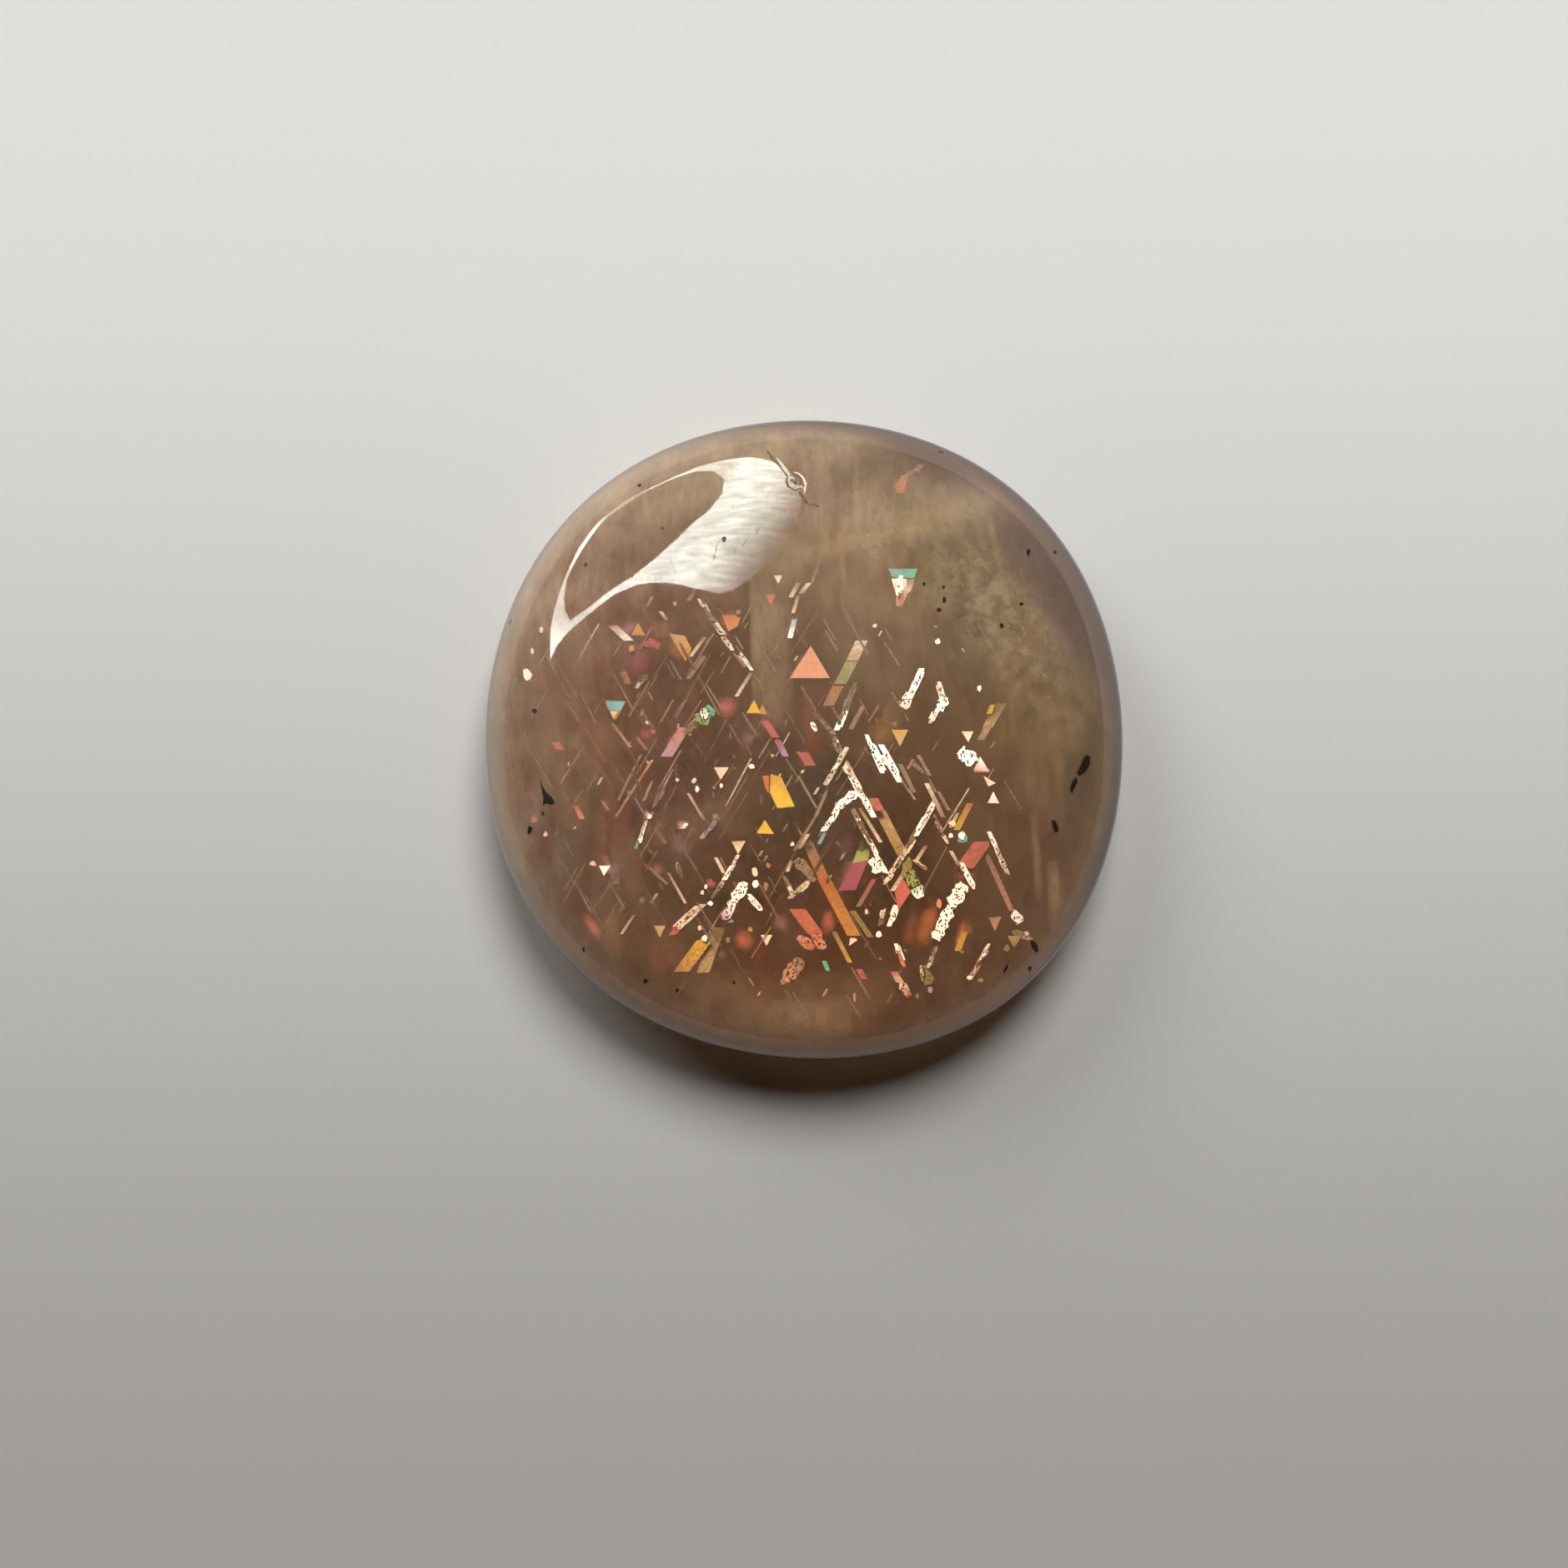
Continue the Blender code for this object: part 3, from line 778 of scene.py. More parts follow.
# Soft patches deeper down, in the same order
deepFlashes = {
    "film": {"name": "deepFilm", "rough": 0.25, "shade": 0.3, "pits": 0.0, "metal": 0.85, "fade": 0.95},
    "thick": 0.01,
    "seed": 17,
    "sides": 14,
    "swell": 1.35,
    "reach": (0.85, 1.1),
    "places": [
        (864, 737, 888, 752, 24, "orange coral", 2.2), (871, 834, 870, 860, 26, "rose coral", 2.2),
        (764, 768, 766, 812, 34, "magenta", 1.4), (1166, 1026, 1152, 1058, 24, "coral rose", 1.6),
        (804, 764, 820, 790, 22, "gold orange", 2), (1120, 1074, 1104, 1136, 26, "orange", 2),
        (1096, 1094, 1084, 1132, 20, "coral orange", 2.2),
        (1158, 1102, 1147, 1138, 12, "orange gold", 1.5), (700, 1094, 722, 1128, 15, "coral", 1.8),
        (882, 1118, 903, 1136, 24, "coral orange", 1.6),
        (937, 1094, 935, 1118, 22, "magenta bronze", 2.4), (846, 1056, 858, 1062, 12, "coral rose", 1.8),
        (784, 1034, 790, 1052, 18, "coral olive", 2), (994, 1090, 992, 1120, 18, "coral rose", 1.6),
        (1040, 1006, 1008, 1074, 32, "olive magenta", 2.2), (775, 872, 775, 888, 16, "coral rose", 2.2),
        (965, 898, 966, 922, 16, "rose coral", 2), (1074, 576, 1084, 592, 14, "coral rose", 2),
        (1030, 985, 1000, 1030, 34, "bronze magenta", 3), (741, 1020, 734, 1066, 16, "magenta lilac", 2),
        (760, 745, 740, 770, 16, "lilac magenta", 1.8), (1150, 1105, 1166, 1120, 14, "gold orange", 2.2),
        (1012, 1082, 980, 1060, 20, "orange gold", 2.2), (850, 1130, 868, 1150, 16, "gold bronze", 2),
        (905, 870, 890, 900, 18, "bronze magenta", 2.6), (800, 1000, 830, 1020, 26, "bronze lilac", 2.8),
        (820, 875, 800, 900, 18, "rose lilac", 1.9),
    ],
}

# Small round grains of film: middle x and y, width, height, tone, depth in mm
beads = {
    "film": {"name": "beadFilm", "rough": 0.2, "shade": 0.15, "pits": 0.0},
    "thick": 0.02,
    "seed": 11,
    "places": [
        (649, 755, 6, 8, "silver", 0.5), (638, 780, 7, 8, "silver", 0.5),
        (632, 809, 12, 15, "silver", 0.5), (1049, 750, 7, 6, "cream", 0.8),
        (1122, 751, 6, 6, "bronze", 0.8), (1124, 769, 8, 7, "silver", 0.8),
        (1174, 825, 7, 8, "silver", 0.8), (654, 1000, 6, 8, "cream", 0.5),
        (901, 919, 7, 6, "silver", 0.8), (711, 1035, 9, 8, "cream", 0.7),
        (1155, 1004, 14, 18, "turquoise", 0.8), (1153, 1002, 8, 10, "silver", 0.7),
        (1142, 987, 9, 8, "cream", 0.8), (1140, 1002, 6, 6, "silver", 0.8),
        (779, 979, 7, 7, "silver", 0.8), (905, 1045, 8, 12, "cream", 1), (918, 1062, 7, 11, "bronze", 1),
        (921, 1038, 7, 8, "orange", 0.9), (900, 1115, 7, 7, "gold", 0.9), (839, 1113, 6, 7, "cream", 0.9),
        (845, 1125, 8, 8, "silver", 0.8), (873, 1127, 6, 6, "bronze", 1),
        (846, 1063, 5, 6, "silver", 0.8), (842, 1070, 6, 6, "cream", 0.8),
        (852, 1083, 7, 7, "silver", 0.8), (876, 1088, 8, 10, "lilac", 0.8),
        (777, 866, 7, 6, "cream", 0.9), (784, 877, 7, 7, "rose", 1), (858, 979, 9, 8, "bronze", 1.1),
        (640, 982, 9, 9, "coral", 0.6), (926, 906, 5, 5, "green", 0.9), (822, 989, 6, 6, "silver", 1),
        (757, 777, 8, 9, "gold", 1), (809, 724, 6, 6, "peach", 1.2), (885, 734, 7, 6, "bronze", 1.1),
        (770, 856, 6, 6, "bronze", 1.2), (950, 1012, 6, 6, "cream", 1), (1039, 1093, 5, 7, "cream", 1),
        (1053, 1120, 8, 9, "silver", 0.8), (1115, 1187, 8, 8, "lilac", 1.1),
        (1100, 1194, 5, 6, "bronze", 1), (1081, 1149, 9, 10, "peach", 1), (1076, 1139, 6, 8, "cream", 1),
        (1176, 1175, 7, 6, "peach", 1), (1163, 1172, 9, 6, "silver", 0.9),
        (1126, 1084, 9, 12, "peach", 1.2), (1231, 1119, 7, 7, "cream", 1),
        (939, 1177, 9, 9, "bronze", 1.2), (1153, 1141, 5, 5, "bronze", 1),
        (976, 871, 7, 9, "silver", 0.8), (1207, 1137, 9, 9, "olive", 1.2),
        (770, 1079, 7, 8, "bronze", 1.2), (906, 1060, 8, 10, "silver", 0.9),
        (865, 942, 5, 6, "silver", 0.9), (832, 936, 7, 8, "cream", 0.9), (836, 946, 6, 8, "silver", 0.9),
        (812, 935, 5, 5, "cream", 1), (856, 944, 5, 5, "bronze", 1), (1074, 1170, 7, 8, "rose", 1),
    ],
    "specks": {
        "count": 46, "middle": (1255, 800), "spread": (22, 60), "slope": 0.35, "reach": 0.93,
        "size": (1.2, 2.6), "tall": (0.8, 2.0), "sides": 5, "deep": (0.4, 0.9), "dim": 0.45,
    },
    "scattered": 110,
    "long": (0.6, 2.4),
    "reach": 0.84,
    "leans": [60, 120, 60, 120, 90],
    "deep": (0.8, 2.6),
    "dim": 0.55,
    "middle": (900, 960),
    "spread": (150, 120),
    "size": (1.6, 3.4),
    "tones": ["cream", "bronze", "bronze", "bronze", "peach", "coral", "cream", "paleGold"],
}

# Faint needles that run along the lattice's three directions
needles = {
    "film": {"name": "needleFilm", "rough": 0.26, "shade": 0.3, "pits": 0.4},
    "thick": 0.012,
    "seed": 9,
    "count": 190,
    "middle": (850, 905),
    "spread": (150, 155),
    "top": 740.0,
    "reach": 0.84,
    "wide": (1.2, 2.6),
    "long": (12, 66),
    "leans": [60, 120, 60, 120, 62, 118, 58, 122],
    "deep": (0.6, 2.6),
    "bright": (0.3, 0.85),
    "tones": ["bronze", "bronze", "bronze", "cream", "rose", "peach", "lilac", "paleGold"],
}


def buildNeedles():
    plates, chance = startPlates(), random.Random(needles["seed"])
    for _ in range(needles["count"]):
        px, py = (chance.gauss(m, r) for m, r in zip(needles["middle"], needles["spread"]))
        py += max(0.0, needles["top"] - py) * 2
        lean = math.radians(chance.choice(needles["leans"]))
        run = Vector((math.cos(lean), -math.sin(lean))) * chance.uniform(*needles["long"]) / 2
        middle = Vector(keptInside(px, py, needles["reach"]))
        tone, deep = chance.choice(needles["tones"]), chance.uniform(*needles["deep"])
        corners = barCorners(middle - run, middle + run, chance.uniform(*needles["wide"]))
        addPlate(plates, corners, tone + " bronze", deep, bright=chance.uniform(*needles["bright"]))
    finishPlates("faintNeedles", plates, needles)


def buildFacets():
    plates = startPlates()
    for corners, tones, deep in facets["places"]:
        addPlate(plates, corners, tones, deep)
    finishPlates("filmFacets", plates, facets)


def buildBars(name, given):
    plates = startPlates()
    for start, end, wide, tones, deep in rowsOf(given):
        addPlate(plates, barCorners(start, end, wide), tones, deep, axis=(start, end))
    finishPlates(name, plates, given)


def buildSilver():
    plates, chance = startPlates(), random.Random(silver["seed"])
    shadowBed, skin, gap, rodlet, fleck = (silver[key] for key in ("shadowBed", "skin", "gap", "rodlet", "fleck"))
    for start, end, wide, tones, deep in rowsOf(silver):
        slim, names = wide < silver["slim"], tones.split()
        grain = silver["fine" if slim else "coarse"]
        run, middle = end - start, (start + end) / 2
        side = Vector((-run.y, run.x)).normalized() * wide
        # Painted shadow: a dark plate a little deeper, offset to the lower right of the film
        lower = flashPlane(middle.x, middle.y, deep + shadowBed["below"])
        shadowShift = Vector(shadowBed["shadowShift"])
        corners = raggedCorners(start + shadowShift, end + shadowShift, wide + shadowBed["extra"], chance)
        addPlate(plates, corners, "bronze", deep, plane=lower, bright=shadowBed["bright"])
        if not slim:
            between = flashPlane(middle.x, middle.y, deep + skin["below"])
            corners = raggedCorners(start, end, wide + skin["extra"], chance)
            addPlate(plates, corners, tones, deep, axis=(start, end), plane=between, bright=skin["bright"])
        plane = flashPlane(middle.x, middle.y, deep)
        count = max(3, round(run.length / (grain["every"] * wide)))
        for i in range(count):
            along = (i + chance.uniform(*silver["along"])) / count
            place = start + run * along + side * chance.uniform(-1, 1) * grain["spread"]
            size = wide * chance.uniform(grain["low"], grain["high"])
            tone = names[0] if chance.random() > along else names[-1]
            bright = chance.uniform(grain["dim"], 1.0)
            if slim:
                long = min(size * chance.uniform(*rodlet["long"]), rodlet["most"] * run.length)
                half = run.normalized() * long
                corners = barCorners(place - half, place + half, size * rodlet["wide"])
            else:
                tall = size * chance.uniform(*fleck["tall"])
                corners = beadCorners(*place, size, tall, chance, fleck["sides"])
            level = (plane[0] + plane[1] * chance.uniform(0, silver["lift"]) * mm, plane[1])
            addPlate(plates, corners, tone, deep, plane=level, bright=bright)
        upper = (plane[0] + plane[1] * gap["above"] * mm, plane[1])
        for _ in range(round(run.length * wide / gap["spacing"])):
            place = start + run * chance.uniform(*gap["along"])
            place += side * chance.uniform(-1, 1) * grain["spread"]
            size = chance.uniform(gap["low"], gap["high"])
            corners = beadCorners(*place, size, size * gap["tall"], chance, gap["sides"])
            addPlate(plates, corners, "bronze", deep, plane=upper, bright=gap["bright"])
    finishPlates("silverBars", plates, silver)


def buildDeepFlashes():
    # Soft ovals: solid in the middle and fading to nothing at the edge
    plates, chance = startPlates(), random.Random(deepFlashes["seed"])
    bm, toneLayer, edgeLayer = plates
    for start, end, wide, tones, deep in rowsOf(deepFlashes):
        run, middle = (end - start) * deepFlashes["swell"] / 2, (start + end) / 2
        side = Vector((-run.y, run.x)).normalized() * wide * deepFlashes["swell"] / 2
        corners = []
        for i in range(deepFlashes["sides"]):
            turn, reach = 2 * math.pi * i / deepFlashes["sides"], chance.uniform(*deepFlashes["reach"])
            corners.append(tuple(middle + (run * math.cos(turn) + side * math.sin(turn)) * reach))
        face = addPlate(plates, corners, tones, deep, axis=(start, end))
        for vert in face.verts:
            vert[edgeLayer] = 0.0
        mean = sum((vert[toneLayer] for vert in face.verts), Vector((0, 0, 0, 0))) / len(face.verts)
        centre = bmesh.ops.poke(bm, faces=[face])["verts"][0]
        centre[edgeLayer], centre[toneLayer] = 1.0, mean
    finishPlates("deepFlashes", plates, deepFlashes)


def buildBeads():
    plates, chance = startPlates(), random.Random(beads["seed"])
    for px, py, wide, tall, tone, deep in beads["places"]:
        addPlate(plates, beadCorners(px, py, wide, tall, chance), tone, deep)
    for _ in range(beads["scattered"]):
        px, py = (chance.gauss(m, r) for m, r in zip(beads["middle"], beads["spread"]))
        size, tone = chance.uniform(*beads["size"]), chance.choice(beads["tones"])
        lean = math.radians(chance.choice(beads["leans"]))
        run = Vector((math.cos(lean), -math.sin(lean))) * size * chance.uniform(*beads["long"])
        reach = math.hypot(px - photo["stoneX"], py - photo["stoneY"]) / photo["pixelsPerMm"] * mm
        if reach < beads["reach"] * stone["meanRadius"]:
            middle = Vector((px, py))
            corners = barCorners(middle - run, middle + run, size)
            addPlate(plates, corners, tone, chance.uniform(*beads["deep"]), bright=beads["dim"])
    specks = beads["specks"]
    for _ in range(specks["count"]):
        px, py = (chance.gauss(m, r) for m, r in zip(specks["middle"], specks["spread"]))
        px += (py - specks["middle"][1]) * specks["slope"]
        size = chance.uniform(*specks["size"])
        place = keptInside(px, py, specks["reach"])
        corners = beadCorners(*place, size, size * chance.uniform(*specks["tall"]), chance, specks["sides"])
        addPlate(plates, corners, "cream", chance.uniform(*specks["deep"]), bright=specks["dim"])
    finishPlates("filmBeads", plates, beads)


buildFacets()
buildBars("filmBars", bars)
buildSilver()
buildBars("thinRods", rods)
buildDeepFlashes()
buildBeads()
buildNeedles()
print("crystals ready")

# Veils inside: middle x and y, half width, half height, turn, depth in mm, thickest share, tint
veils = {
    "thick": 0.01,
    "steps": 12,
    "reach": 0.95,
    "roughness": 0.75,
    "wave": 0.25,
    "waveSize": 40,
    "wisps": {
        "scale": 1.4, "low": 0.32, "high": 0.68, "least": 0.4, "most": 1.25, "turn": 6.0,
        "size": (0.7, 1.8, 1), "roughness": 0.5,
    },
    "pale": srgb(232, 218, 192),
    "smoke": srgb(214, 214, 204),
    "olive": srgb(214, 198, 150),
    "grey": srgb(172, 152, 144),
    "dark": srgb(62, 42, 32),
    "strewn": {
        "count": 64, "seed": 5, "middle": (800, 905), "spread": (130, 150), "half": (9, 34),
        "stretch": (1.0, 3.2), "turns": [0, 8, -8, 30, -30, 60, -60], "deep": (0.6, 3.2),
        "level": (0.12, 0.42),
        "tints": [
            srgb(214, 190, 168), srgb(196, 160, 150), srgb(178, 150, 156), srgb(206, 176, 132),
            srgb(150, 84, 66), srgb(126, 74, 56), srgb(190, 120, 112), srgb(108, 66, 50),
        ],
    },
    "sharpSheet": (925, 776, 27, 112, 2, 1.3, 0.52, "smoke"),
    "sheets": [
        (1062, 634, 150, 26, 13, 1, 0.36, "olive"), (1040, 700, 130, 60, 0.0, 2.4, 0.22, "pale"),
        (1232, 800, 52, 130, -12, 1, 0.33, "olive"), (1268, 880, 40, 110, -20, 0.7, 0.33, "olive"),
        (1263, 1074, 8, 44, 2, 0.5, 0.85, "smoke"), (1243, 1030, 6, 60, 4, 0.5, 0.34, "smoke"),
        (770, 990, 110, 34, -8, 2.6, 0.13, "pale"), (700, 850, 60, 150, -25, 1.8, 0.17, "pale"),
        (840, 960, 140, 40, 10, 3.2, 0.11, "pale"), (760, 1110, 110, 60, -35, 2, 0.11, "pale"),
        (930, 1200, 170, 40, 0.0, 1.4, 0.14, "pale"), (740, 880, 40, 160, 20, 2.8, 0.09, "pale"),
        (1120, 690, 90, 40, 25, 3, 0.11, "olive"), (1000, 1000, 30, 120, -30, 3.4, 0.08, "pale"),
        (984, 552, 13, 52, 5, 0.5, 0.42, "smoke"), (1027, 600, 5, 70, 1, 0.5, 0.34, "smoke"),
        (1158, 610, 40, 16, 14, 0.4, 0.52, "smoke"), (1189, 632, 5, 34, 10, 0.4, 0.4, "smoke"),
        (1060, 640, 130, 12, 14, 0.5, 0.3, "pale"), (1010, 690, 5, 44, 3, 0.5, 0.24, "pale"),
        (895, 1062, 120, 40, 8, 2, 0.36, "dark"), (1065, 1040, 70, 100, 20, 2.2, 0.38, "dark"),
        (960, 960, 60, 80, -20, 2.2, 0.4, "dark"), (820, 930, 50, 40, 10, 2, 0.4, "dark"),
        (975, 1222, 70, 30, 4, 0.4, 0.4, "smoke"), (756, 1046, 24, 56, 8, 0.9, 0.42, "grey"),
        (846, 984, 66, 30, 4, 1.4, 0.36, "grey"), (705, 800, 34, 44, 0.0, 1, 0.36, "grey"),
        (1000, 880, 60, 90, 30, 2.6, 0.14, "grey"),
    ],
}


def veilMaterial():
    material, tree, shader = newMaterial("paleVeil")
    share = maths(tree, "MULTIPLY", attribute(tree, "edge", "Fac"), patchy(tree, **veils["wisps"]))
    feed(tree, share, shader.inputs["Alpha"])
    feed(tree, attribute(tree, "tone", "Color"), shader.inputs["Base Color"])
    shader.inputs["Roughness"].default_value = veils["roughness"]
    return material


def addVeil(whole, layers, at, half, turn, deep, level, tint, steps, sharp=False):
    # A sheet this deep under the dome that fades out towards its edges
    toneLayer, edgeLayer = layers
    made = bmesh.ops.create_grid(whole, x_segments=steps, y_segments=steps, size=1.0)
    turned = Matrix.Rotation(math.radians(turn), 2)
    for vert in made["verts"]:
        u, v = vert.co.x, vert.co.y
        away = turned @ Vector((u * half[0], v * half[1]))
        px, py = keptInside(at[0] + away.x, at[1] - away.y, veils["reach"])
        point, line = bentLine(px, py)
        wave = 1 + veils["wave"] * noise.noise(Vector((px, py, deep * veils["waveSize"])) / veils["waveSize"])
        vert.co = point + line * (deep * mm * wave / -line.z)
        across = min(1.0, (u + 1) * 5) * (1 - max(0.0, u)) if sharp else 1 - u * u
        vert[edgeLayer] = across * (1 - v * v) * level
        vert[toneLayer] = tint


def buildVeils():
    whole = bmesh.new()
    layers = whole.verts.layers.float_color.new("tone"), whole.verts.layers.float.new("edge")
    for sheet in [veils["sharpSheet"]] + veils["sheets"]:
        px, py, wide, high, turn, deep, level, tint = sheet
        shape = (px, py), (wide, high), turn, deep, level, veils[tint]
        addVeil(whole, layers, *shape, veils["steps"], sheet is veils["sharpSheet"])
    strewn = veils["strewn"]
    chance = random.Random(strewn["seed"])
    for _ in range(strewn["count"]):
        at = [chance.gauss(m, r) for m, r in zip(strewn["middle"], strewn["spread"])]
        wide = chance.uniform(*strewn["half"])
        half = wide, wide * chance.uniform(*strewn["stretch"])
        turn, tint = chance.choice(strewn["turns"]), chance.choice(strewn["tints"])
        deep, level = chance.uniform(*strewn["deep"]), chance.uniform(*strewn["level"])
        addVeil(whole, layers, at, half, turn, deep, level, tint, veils["steps"] // 2)
    piece = addPiece("hazeVeils", whole, [veilMaterial()])
    solid = piece.modifiers.new("thickness", "SOLIDIFY")
    solid.thickness = veils["thick"] * mm
    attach(piece, "root")


# Dark grains that the polish cut through: middle x and y, width, height, turn. The larger ones have outlines
grains = {
    "reach": 0.985,
    "proud": 0.02,
    "deep": 0.17,
    "sides": 9,
    "seed": 3,
    "spots": {"scale": 14.0, "low": 0.35, "high": 0.65},
    "dark": srgb(16, 10, 8),
    "pale": srgb(48, 32, 24),
    "roughness": 0.45,
    "outlines": [
        [
            (648, 936), (650, 942), (655, 950), (661, 955), (665, 962),
            (662, 965), (655, 963), (651, 965), (652, 957), (650, 948),
        ],
        [
            (1303, 905), (1307, 908), (1306, 917), (1301, 925),
            (1294, 930), (1291, 927), (1296, 917), (1299, 909),
        ],
        [(1289, 932), (1292, 936), (1289, 943), (1285, 951), (1283, 947), (1285, 939)],
        [(1261, 983), (1265, 984), (1268, 990), (1269, 996), (1265, 998), (1262, 991)],
    ],
    "places": [
        (635, 995, 6, 12, 10), (641, 853, 6, 6, 0), (868, 647, 6, 7, 0), (651, 975, 4, 5, 0),
        (767, 582, 4, 5, 0), (794, 633, 5, 4, 0), (702, 677, 5, 5, 0), (608, 744, 4, 9, -20),
        (1129, 540, 9, 6, -30), (1233, 662, 5, 10, 5), (1265, 662, 4, 4, 0), (1225, 724, 5, 5, 0),
        (1201, 750, 5, 6, 0), (1131, 704, 4, 5, 0), (1132, 719, 5, 9, 0), (1126, 731, 7, 5, 0),
        (1240, 1133, 7, 18, -24), (1235, 1161, 5, 6, 0), (1206, 1161, 3, 14, 25), (774, 1176, 6, 6, 0),
        (812, 1187, 4, 4, 0), (1108, 700, 4, 4, 0), (880, 1178, 3, 4, 0), (700, 1138, 3, 7, 0),
    ],
}


def grainMaterial():
    material, tree, shader = newMaterial("darkGrain")
    spots = patchy(tree, **grains["spots"])
    feed(tree, blended(tree, spots, grains["dark"], grains["pale"]), shader.inputs["Base Color"])
    shader.inputs["Roughness"].default_value = grains["roughness"]
    return material


def buildGrains():
    whole, chance = bmesh.new(), random.Random(grains["seed"])
    outlines = list(grains["outlines"])
    for px, py, wide, tall, turn in grains["places"]:
        turned = Matrix.Rotation(math.radians(turn), 2)
        corners = [Vector(c) for c in beadCorners(0, 0, wide, tall, chance, grains["sides"])]
        outlines.append([tuple(turned @ c + Vector((px, py))) for c in corners])
    for outline in outlines:
        points = [onDome(*keptInside(*corner, grains["reach"])) for corner in outline]
        lifted = [point + domeNormal(point) * grains["proud"] * mm for point in points]
        face = whole.faces.new([whole.verts.new(point) for point in lifted])
        face.normal_update()
        if face.normal.z < 0:
            face.normal_flip()
        inward = -domeNormal(points[0]) * grains["deep"] * mm
        sides = bmesh.ops.extrude_face_region(whole, geom=[face], use_keep_orig=True)
        sunk = [item for item in sides["geom"] if isinstance(item, bmesh.types.BMVert)]
        bmesh.ops.translate(whole, verts=sunk, vec=inward)
    bmesh.ops.recalc_face_normals(whole, faces=whole.faces)
    piece = addPiece("darkGrains", whole, [grainMaterial()], smooth=False)
    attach(piece, "root")


# The pit and its crack near the top edge: dark rolls lie in them and pale rolls along one side. A line is
# its points, each with its width there
pitLook = {"spots": {"scale": 16.0, "low": 0.35, "high": 0.65}, "roughness": 0.6, "roll": 0.5}
pit = {
    "pitDarkFill": {
        "material": "pitDarkFill", "sink": 0.38, "dark": srgb(70, 48, 28), "pale": srgb(128, 98, 66),
        "lines": [
            [(919, 540, 3), (923, 545, 5), (926, 550, 6), (934, 558, 3.5), (941, 567, 3), (944, 571, 3)],
            [(944, 572, 2.5), (943, 577, 4), (945, 583, 5), (950, 586, 3), (955, 588, 3.4), (958, 585, 2.4)],
            [(947, 571, 1.6), (953, 569, 2), (959, 572, 2.2), (961, 577, 2.2), (959, 582, 1.8)],
            [(948, 575, 5), (952, 577, 8), (955, 581, 5)],
            [(958, 589, 3), (961, 595, 5.5), (965, 600, 5), (968, 604, 3)],
            [(969, 606, 2), (974, 604, 4), (979, 606, 4.5), (982, 608, 2.5)],
        ],
    },
    "scratches": {
        "material": "darkScratch", "sink": 0.42, "dark": srgb(96, 70, 46), "pale": srgb(150, 122, 92),
        "lines": [
            [(863, 648, 1.2), (859, 655, 1.6), (858, 662, 1.6), (855, 672, 1)],
            [(803, 667, 0.8), (806, 676, 1.1), (810, 687, 0.8)],
            [(898, 643, 1.2), (894, 648, 1.6), (891, 655, 1.2)],
            [(912, 631, 1), (908, 636, 1.5), (906, 641, 1)],
            [(884, 657, 1), (880, 663, 1)],
            [(846, 608, 1.4), (840, 616, 2), (833, 623, 1.4)],
        ],
    },
    "pitLip": {
        "material": "palePitSide", "sink": 0.3, "dark": srgb(214, 190, 156), "pale": srgb(246, 234, 212),
        "lines": [
            [(931, 549, 1.5), (936, 555, 3.5), (941, 561, 3.5), (946, 566, 2)],
            [
                (952, 566, 1.6), (958, 568, 3.2), (963, 573, 3.8), (966, 580, 3.8), (965, 587, 3.4),
                (964, 593, 1.6),
            ],
            [(956, 585, 1.5), (960, 583, 3.5), (963, 586, 2)],
        ],
    },
}


def pitMaterial(name, dark, pale):
    material, tree, shader = newMaterial(name)
    spots = patchy(tree, **pitLook["spots"])
    feed(tree, blended(tree, spots, dark, pale), shader.inputs["Base Color"])
    shader.inputs["Roughness"].default_value = pitLook["roughness"]
    return material


def lineOnDome(name, given):
    # Slim rolls lying in the surface along their paths
    whole = bmesh.new()
    for line in given["lines"]:
        curve = bpy.data.curves.new(name, "CURVE")
        curve.dimensions = "3D"
        curve.bevel_depth = pitLook["roll"] / photo["pixelsPerMm"] * mm
        curve.bevel_resolution = 2
        curve.use_fill_caps = True
        spline = curve.splines.new("POLY")
        spline.points.add(len(line) - 1)
        for place, (px, py, wide) in zip(spline.points, line):
            point = onDome(px, py)
            depth = given["sink"] * wide / photo["pixelsPerMm"] * mm
            place.co = (*(point - domeNormal(point) * depth), 1.0)
            place.radius = wide
        guide = bpy.data.objects.new(name, curve)
        bpy.context.scene.collection.objects.link(guide)
        bpy.context.view_layer.update()
        mesh = bpy.data.meshes.new_from_object(guide.evaluated_get(bpy.context.evaluated_depsgraph_get()))
        whole.from_mesh(mesh)
        bpy.data.objects.remove(guide)
        bpy.data.meshes.remove(mesh)
    bmesh.ops.remove_doubles(whole, verts=whole.verts, dist=stone["weld"] / 2)
    bmesh.ops.recalc_face_normals(whole, faces=whole.faces)
    piece = addPiece(name, whole, [pitMaterial(given["material"], given["dark"], given["pale"])])
    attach(piece, "root")


buildVeils()
buildGrains()
for name, given in pit.items():
    lineOnDome(name, given)
print("veils, grains and pit ready")


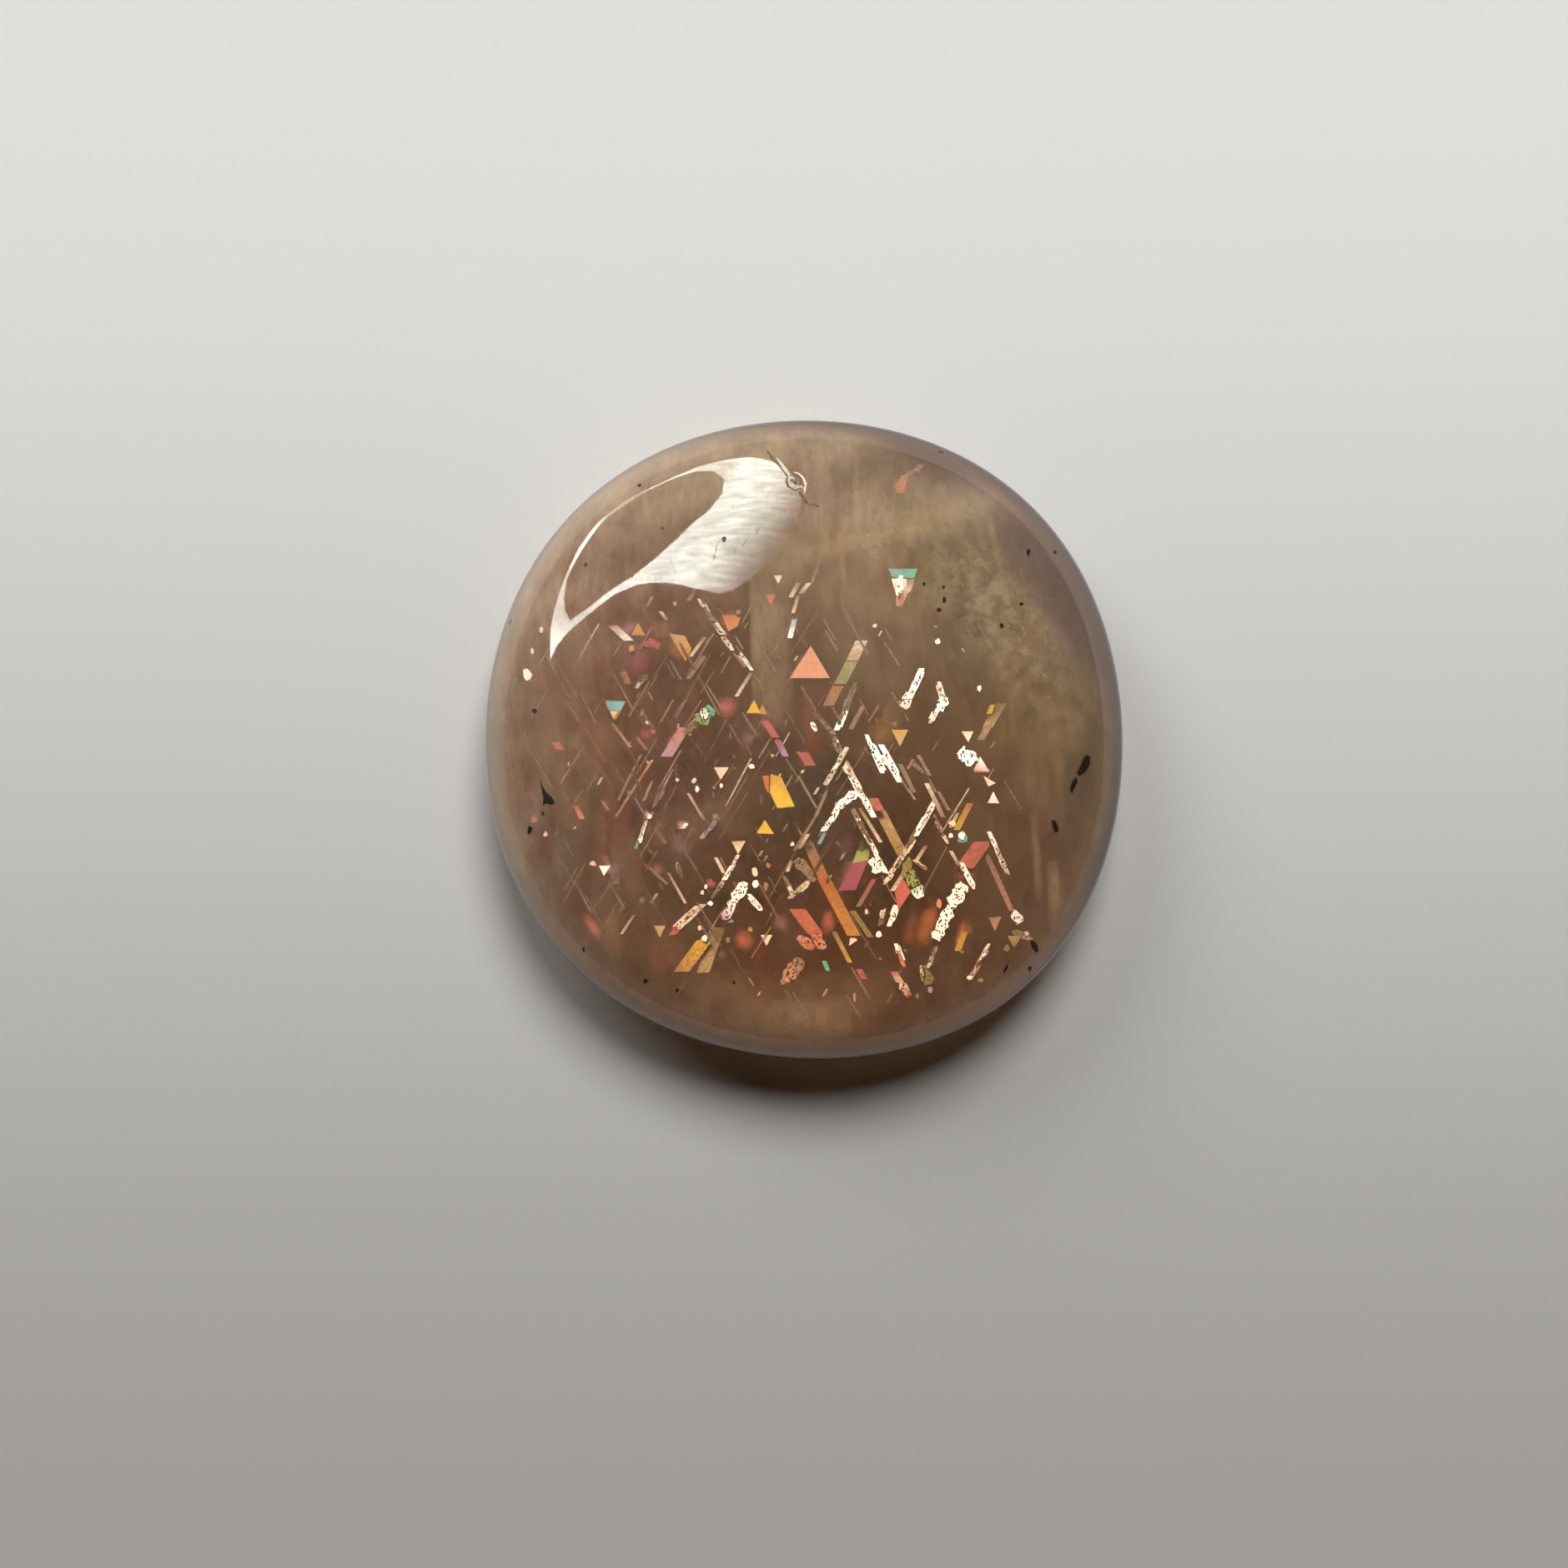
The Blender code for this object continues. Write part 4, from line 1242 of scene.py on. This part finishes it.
# A window that the dome mirrors, as its outline and dark middle show in the photograph. It fades out to the
# right across a soft line, and its light is uneven in level streaks
window = {
    "azimuth": 125.0,
    "zenith": 50.0,
    "strength": 21.5,
    "reach": 0.5,
    "colour": srgb(240, 248, 238),
    "softLine": {"at": (914, 650), "across": (0.83, 0.555), "start": -46.0, "end": 30.0},
    "streaks": {"size": (30.0, 5.0), "range": (0.36, 0.64), "loss": 0.42, "start": -150.0, "end": -70.0},
    "dim": [((752, 606), 62, 0.22), ((676, 716), 62, 0.5), ((850, 560), 46, 0.6)],  # reach, share left
    "dimCore": 0.3,
    "outer": [
        (660, 791), (660, 755), (665, 730), (676, 696), (695, 656), (718, 625), (759, 595), (804, 575),
        (835, 560), (873, 551), (899, 548), (919, 551), (940, 560), (956, 578), (962, 600), (952, 636),
        (930, 668), (900, 694), (878, 708), (862, 711), (835, 706), (810, 700), (784, 698), (764, 701),
        (738, 712), (708, 735), (681, 758), (667, 775),
    ],
    "inner": [
        (678, 734), (676, 717), (680, 694), (700, 656), (723, 625), (764, 596), (810, 571), (835, 565),
        (855, 565), (868, 574), (866, 592), (850, 612), (830, 628), (810, 648), (784, 671), (759, 691),
        (733, 707), (708, 727), (684, 744),
    ],
}


def buildSuns():
    for name, light in suns.items():
        data = bpy.data.lights.new(name, "SUN")
        data.angle = math.radians(light["spread"])
        data.energy = light["level"] * math.pi / math.cos(math.radians(light["zenith"]))
        data.color = light["colour"][:3]
        lamp = bpy.data.objects.new(name, data)
        lamp.rotation_euler = towards(light).to_track_quat("Z", "Y").to_euler()
        lamp.visible_glossy = False
        lamp.visible_transmission = False
        bpy.context.scene.collection.objects.link(lamp)


def lightOnly(piece, glossy, transmission):
    # A lamp card: what it is seen by
    piece.visible_camera = False
    piece.visible_diffuse = False
    piece.visible_shadow = False
    piece.visible_glossy = glossy
    piece.visible_transmission = transmission
    return piece


def emitter(name, colour):
    material = bpy.data.materials.new(name)
    material.use_nodes = True
    nodes, links = material.node_tree.nodes, material.node_tree.links
    nodes.remove(nodes["Principled BSDF"])
    emit = nodes.new("ShaderNodeEmission")
    emit.inputs["Color"].default_value = colour
    links.new(emit.outputs["Emission"], nodes["Material Output"].inputs["Surface"])
    return material, emit.inputs["Strength"]


def buildWindow():
    mean = towards(window)
    bm = bmesh.new()
    seen = bm.verts.layers.float_vector.new("seen")
    for side in ("outer", "inner"):
        ring = []
        for px, py in window[side]:
            point, line = onDome(px, py), sightLine(px, py)
            back = line.reflect(domeNormal(point))
            vert = bm.verts.new(point + back * (window["reach"] / back.dot(mean)))
            vert[seen] = (px, py, 0)
            ring.append(vert)
        for a, b in zip(ring, ring[1:] + ring[:1]):
            bm.edges.new((a, b))
    bmesh.ops.triangle_fill(bm, edges=bm.edges[:], use_beauty=True)
    material, strength = emitter("windowLight", window["colour"])
    tree, soft, streaks = material.node_tree, window["softLine"], window["streaks"]
    where = attribute(tree, "seen", "Vector")
    across = vectorMaths(tree, "DOT_PRODUCT", where, (*soft["across"], 0))
    line = soft["at"][0] * soft["across"][0] + soft["at"][1] * soft["across"][1]
    fade = ease(tree, across, line + soft["start"], line + soft["end"], 1.0, 0.0)
    scaled = vectorMaths(tree, "DIVIDE", where, (*streaks["size"], 1), "Vector")
    loss = ease(tree, cloudy(tree, scaled, 1.0), *streaks["range"], streaks["loss"], 0.0)
    inRange = ease(tree, across, line + streaks["start"], line + streaks["end"])
    kept = maths(tree, "SUBTRACT", 1.0, maths(tree, "MULTIPLY", loss, inRange))
    for place, reach, least in window["dim"]:
        away = vectorMaths(tree, "DISTANCE", where, (*place, 0))
        share = ease(tree, away, window["dimCore"] * reach, reach, least, 1.0)
        kept = maths(tree, "MULTIPLY", kept, share)
    shine = maths(tree, "MULTIPLY", maths(tree, "MULTIPLY", fade, kept), window["strength"])
    tree.links.new(shine, strength)
    return lightOnly(addPiece("windowPanel", bm, [material], smooth=False), True, False)


def buildGlow():
    # A soft round light that only shines into the stone
    middle = towards(glow) * glow["distance"]
    bm = bmesh.new()
    radius = glow["distance"] * math.tan(math.radians(glow["outer"]))
    turn = towards(glow).to_track_quat("Z", "Y").to_matrix().to_4x4()
    place = Matrix.Translation(middle) @ turn
    bmesh.ops.create_circle(bm, cap_ends=True, segments=glow["segments"], radius=radius, matrix=place)
    material, strength = emitter("glowLight", glow["colour"])
    tree = material.node_tree
    away = vectorMaths(tree, "DISTANCE", placed(tree), middle / mm)
    inner = glow["distance"] * math.tan(math.radians(glow["inner"]))
    feed(tree, ease(tree, away, inner / mm, radius / mm, glow["strength"], 0.0), strength)
    return lightOnly(addPiece("glowDisc", bm, [material], smooth=False), False, True)


def buildWorld():
    # An even light that only what is inside the stone sees
    world = bpy.data.worlds.new("studioGlow")
    world.use_nodes = True
    background = world.node_tree.nodes["Background"]
    background.inputs["Color"].default_value = glow["warm"]
    background.inputs["Strength"].default_value = glow["level"]
    world.cycles_visibility.diffuse = False
    world.cycles_visibility.glossy = False
    bpy.context.scene.world = world


# Paper, with painted light falloff: paler towards the light
paper = {
    "far": srgb(222, 222, 219),
    "near": srgb(157, 155, 152),
    "farY": 30.0,
    "nearY": -34.0,
    "size": 1.5,
    "below": 0.05,  # mm
    "grain": 7.0,
    "bumpHeight": 0.02,
    "bumpStrength": 0.35,
    "roughness": 0.9,
}


def buildFloor():
    bm = bmesh.new()
    bmesh.ops.create_grid(bm, x_segments=1, y_segments=1, size=paper["size"])
    bmesh.ops.translate(bm, verts=bm.verts, vec=(0, 0, -paper["below"] * mm))
    material, tree, shader = newMaterial("palePaper")
    # Painted light falloff: paler at the far side towards the light, darker at the near side
    shade = ease(tree, axesOf(tree)[1], paper["nearY"], paper["farY"])
    feed(tree, blended(tree, shade, paper["near"], paper["far"]), shader.inputs["Base Color"])
    grain = cloudy(tree, placed(tree), paper["grain"], detail=4.0, roughness=0.7)
    bumpFrom(tree, grain, shader, paper["bumpHeight"], paper["bumpStrength"])
    shader.inputs["Roughness"].default_value = paper["roughness"]
    shader.inputs["Specular IOR Level"].default_value = 0.0
    return addPiece("paperFloor", bm, [material], smooth=False)


buildWorld()
buildSuns()
buildFloor()
buildWindow()
buildGlow()
print("floor and light ready")

scene = bpy.context.scene
scene.view_settings.view_transform = "Standard"
scene.cycles.use_denoising = True
scene.cycles.max_bounces = 10
scene.cycles.transparent_max_bounces = 16
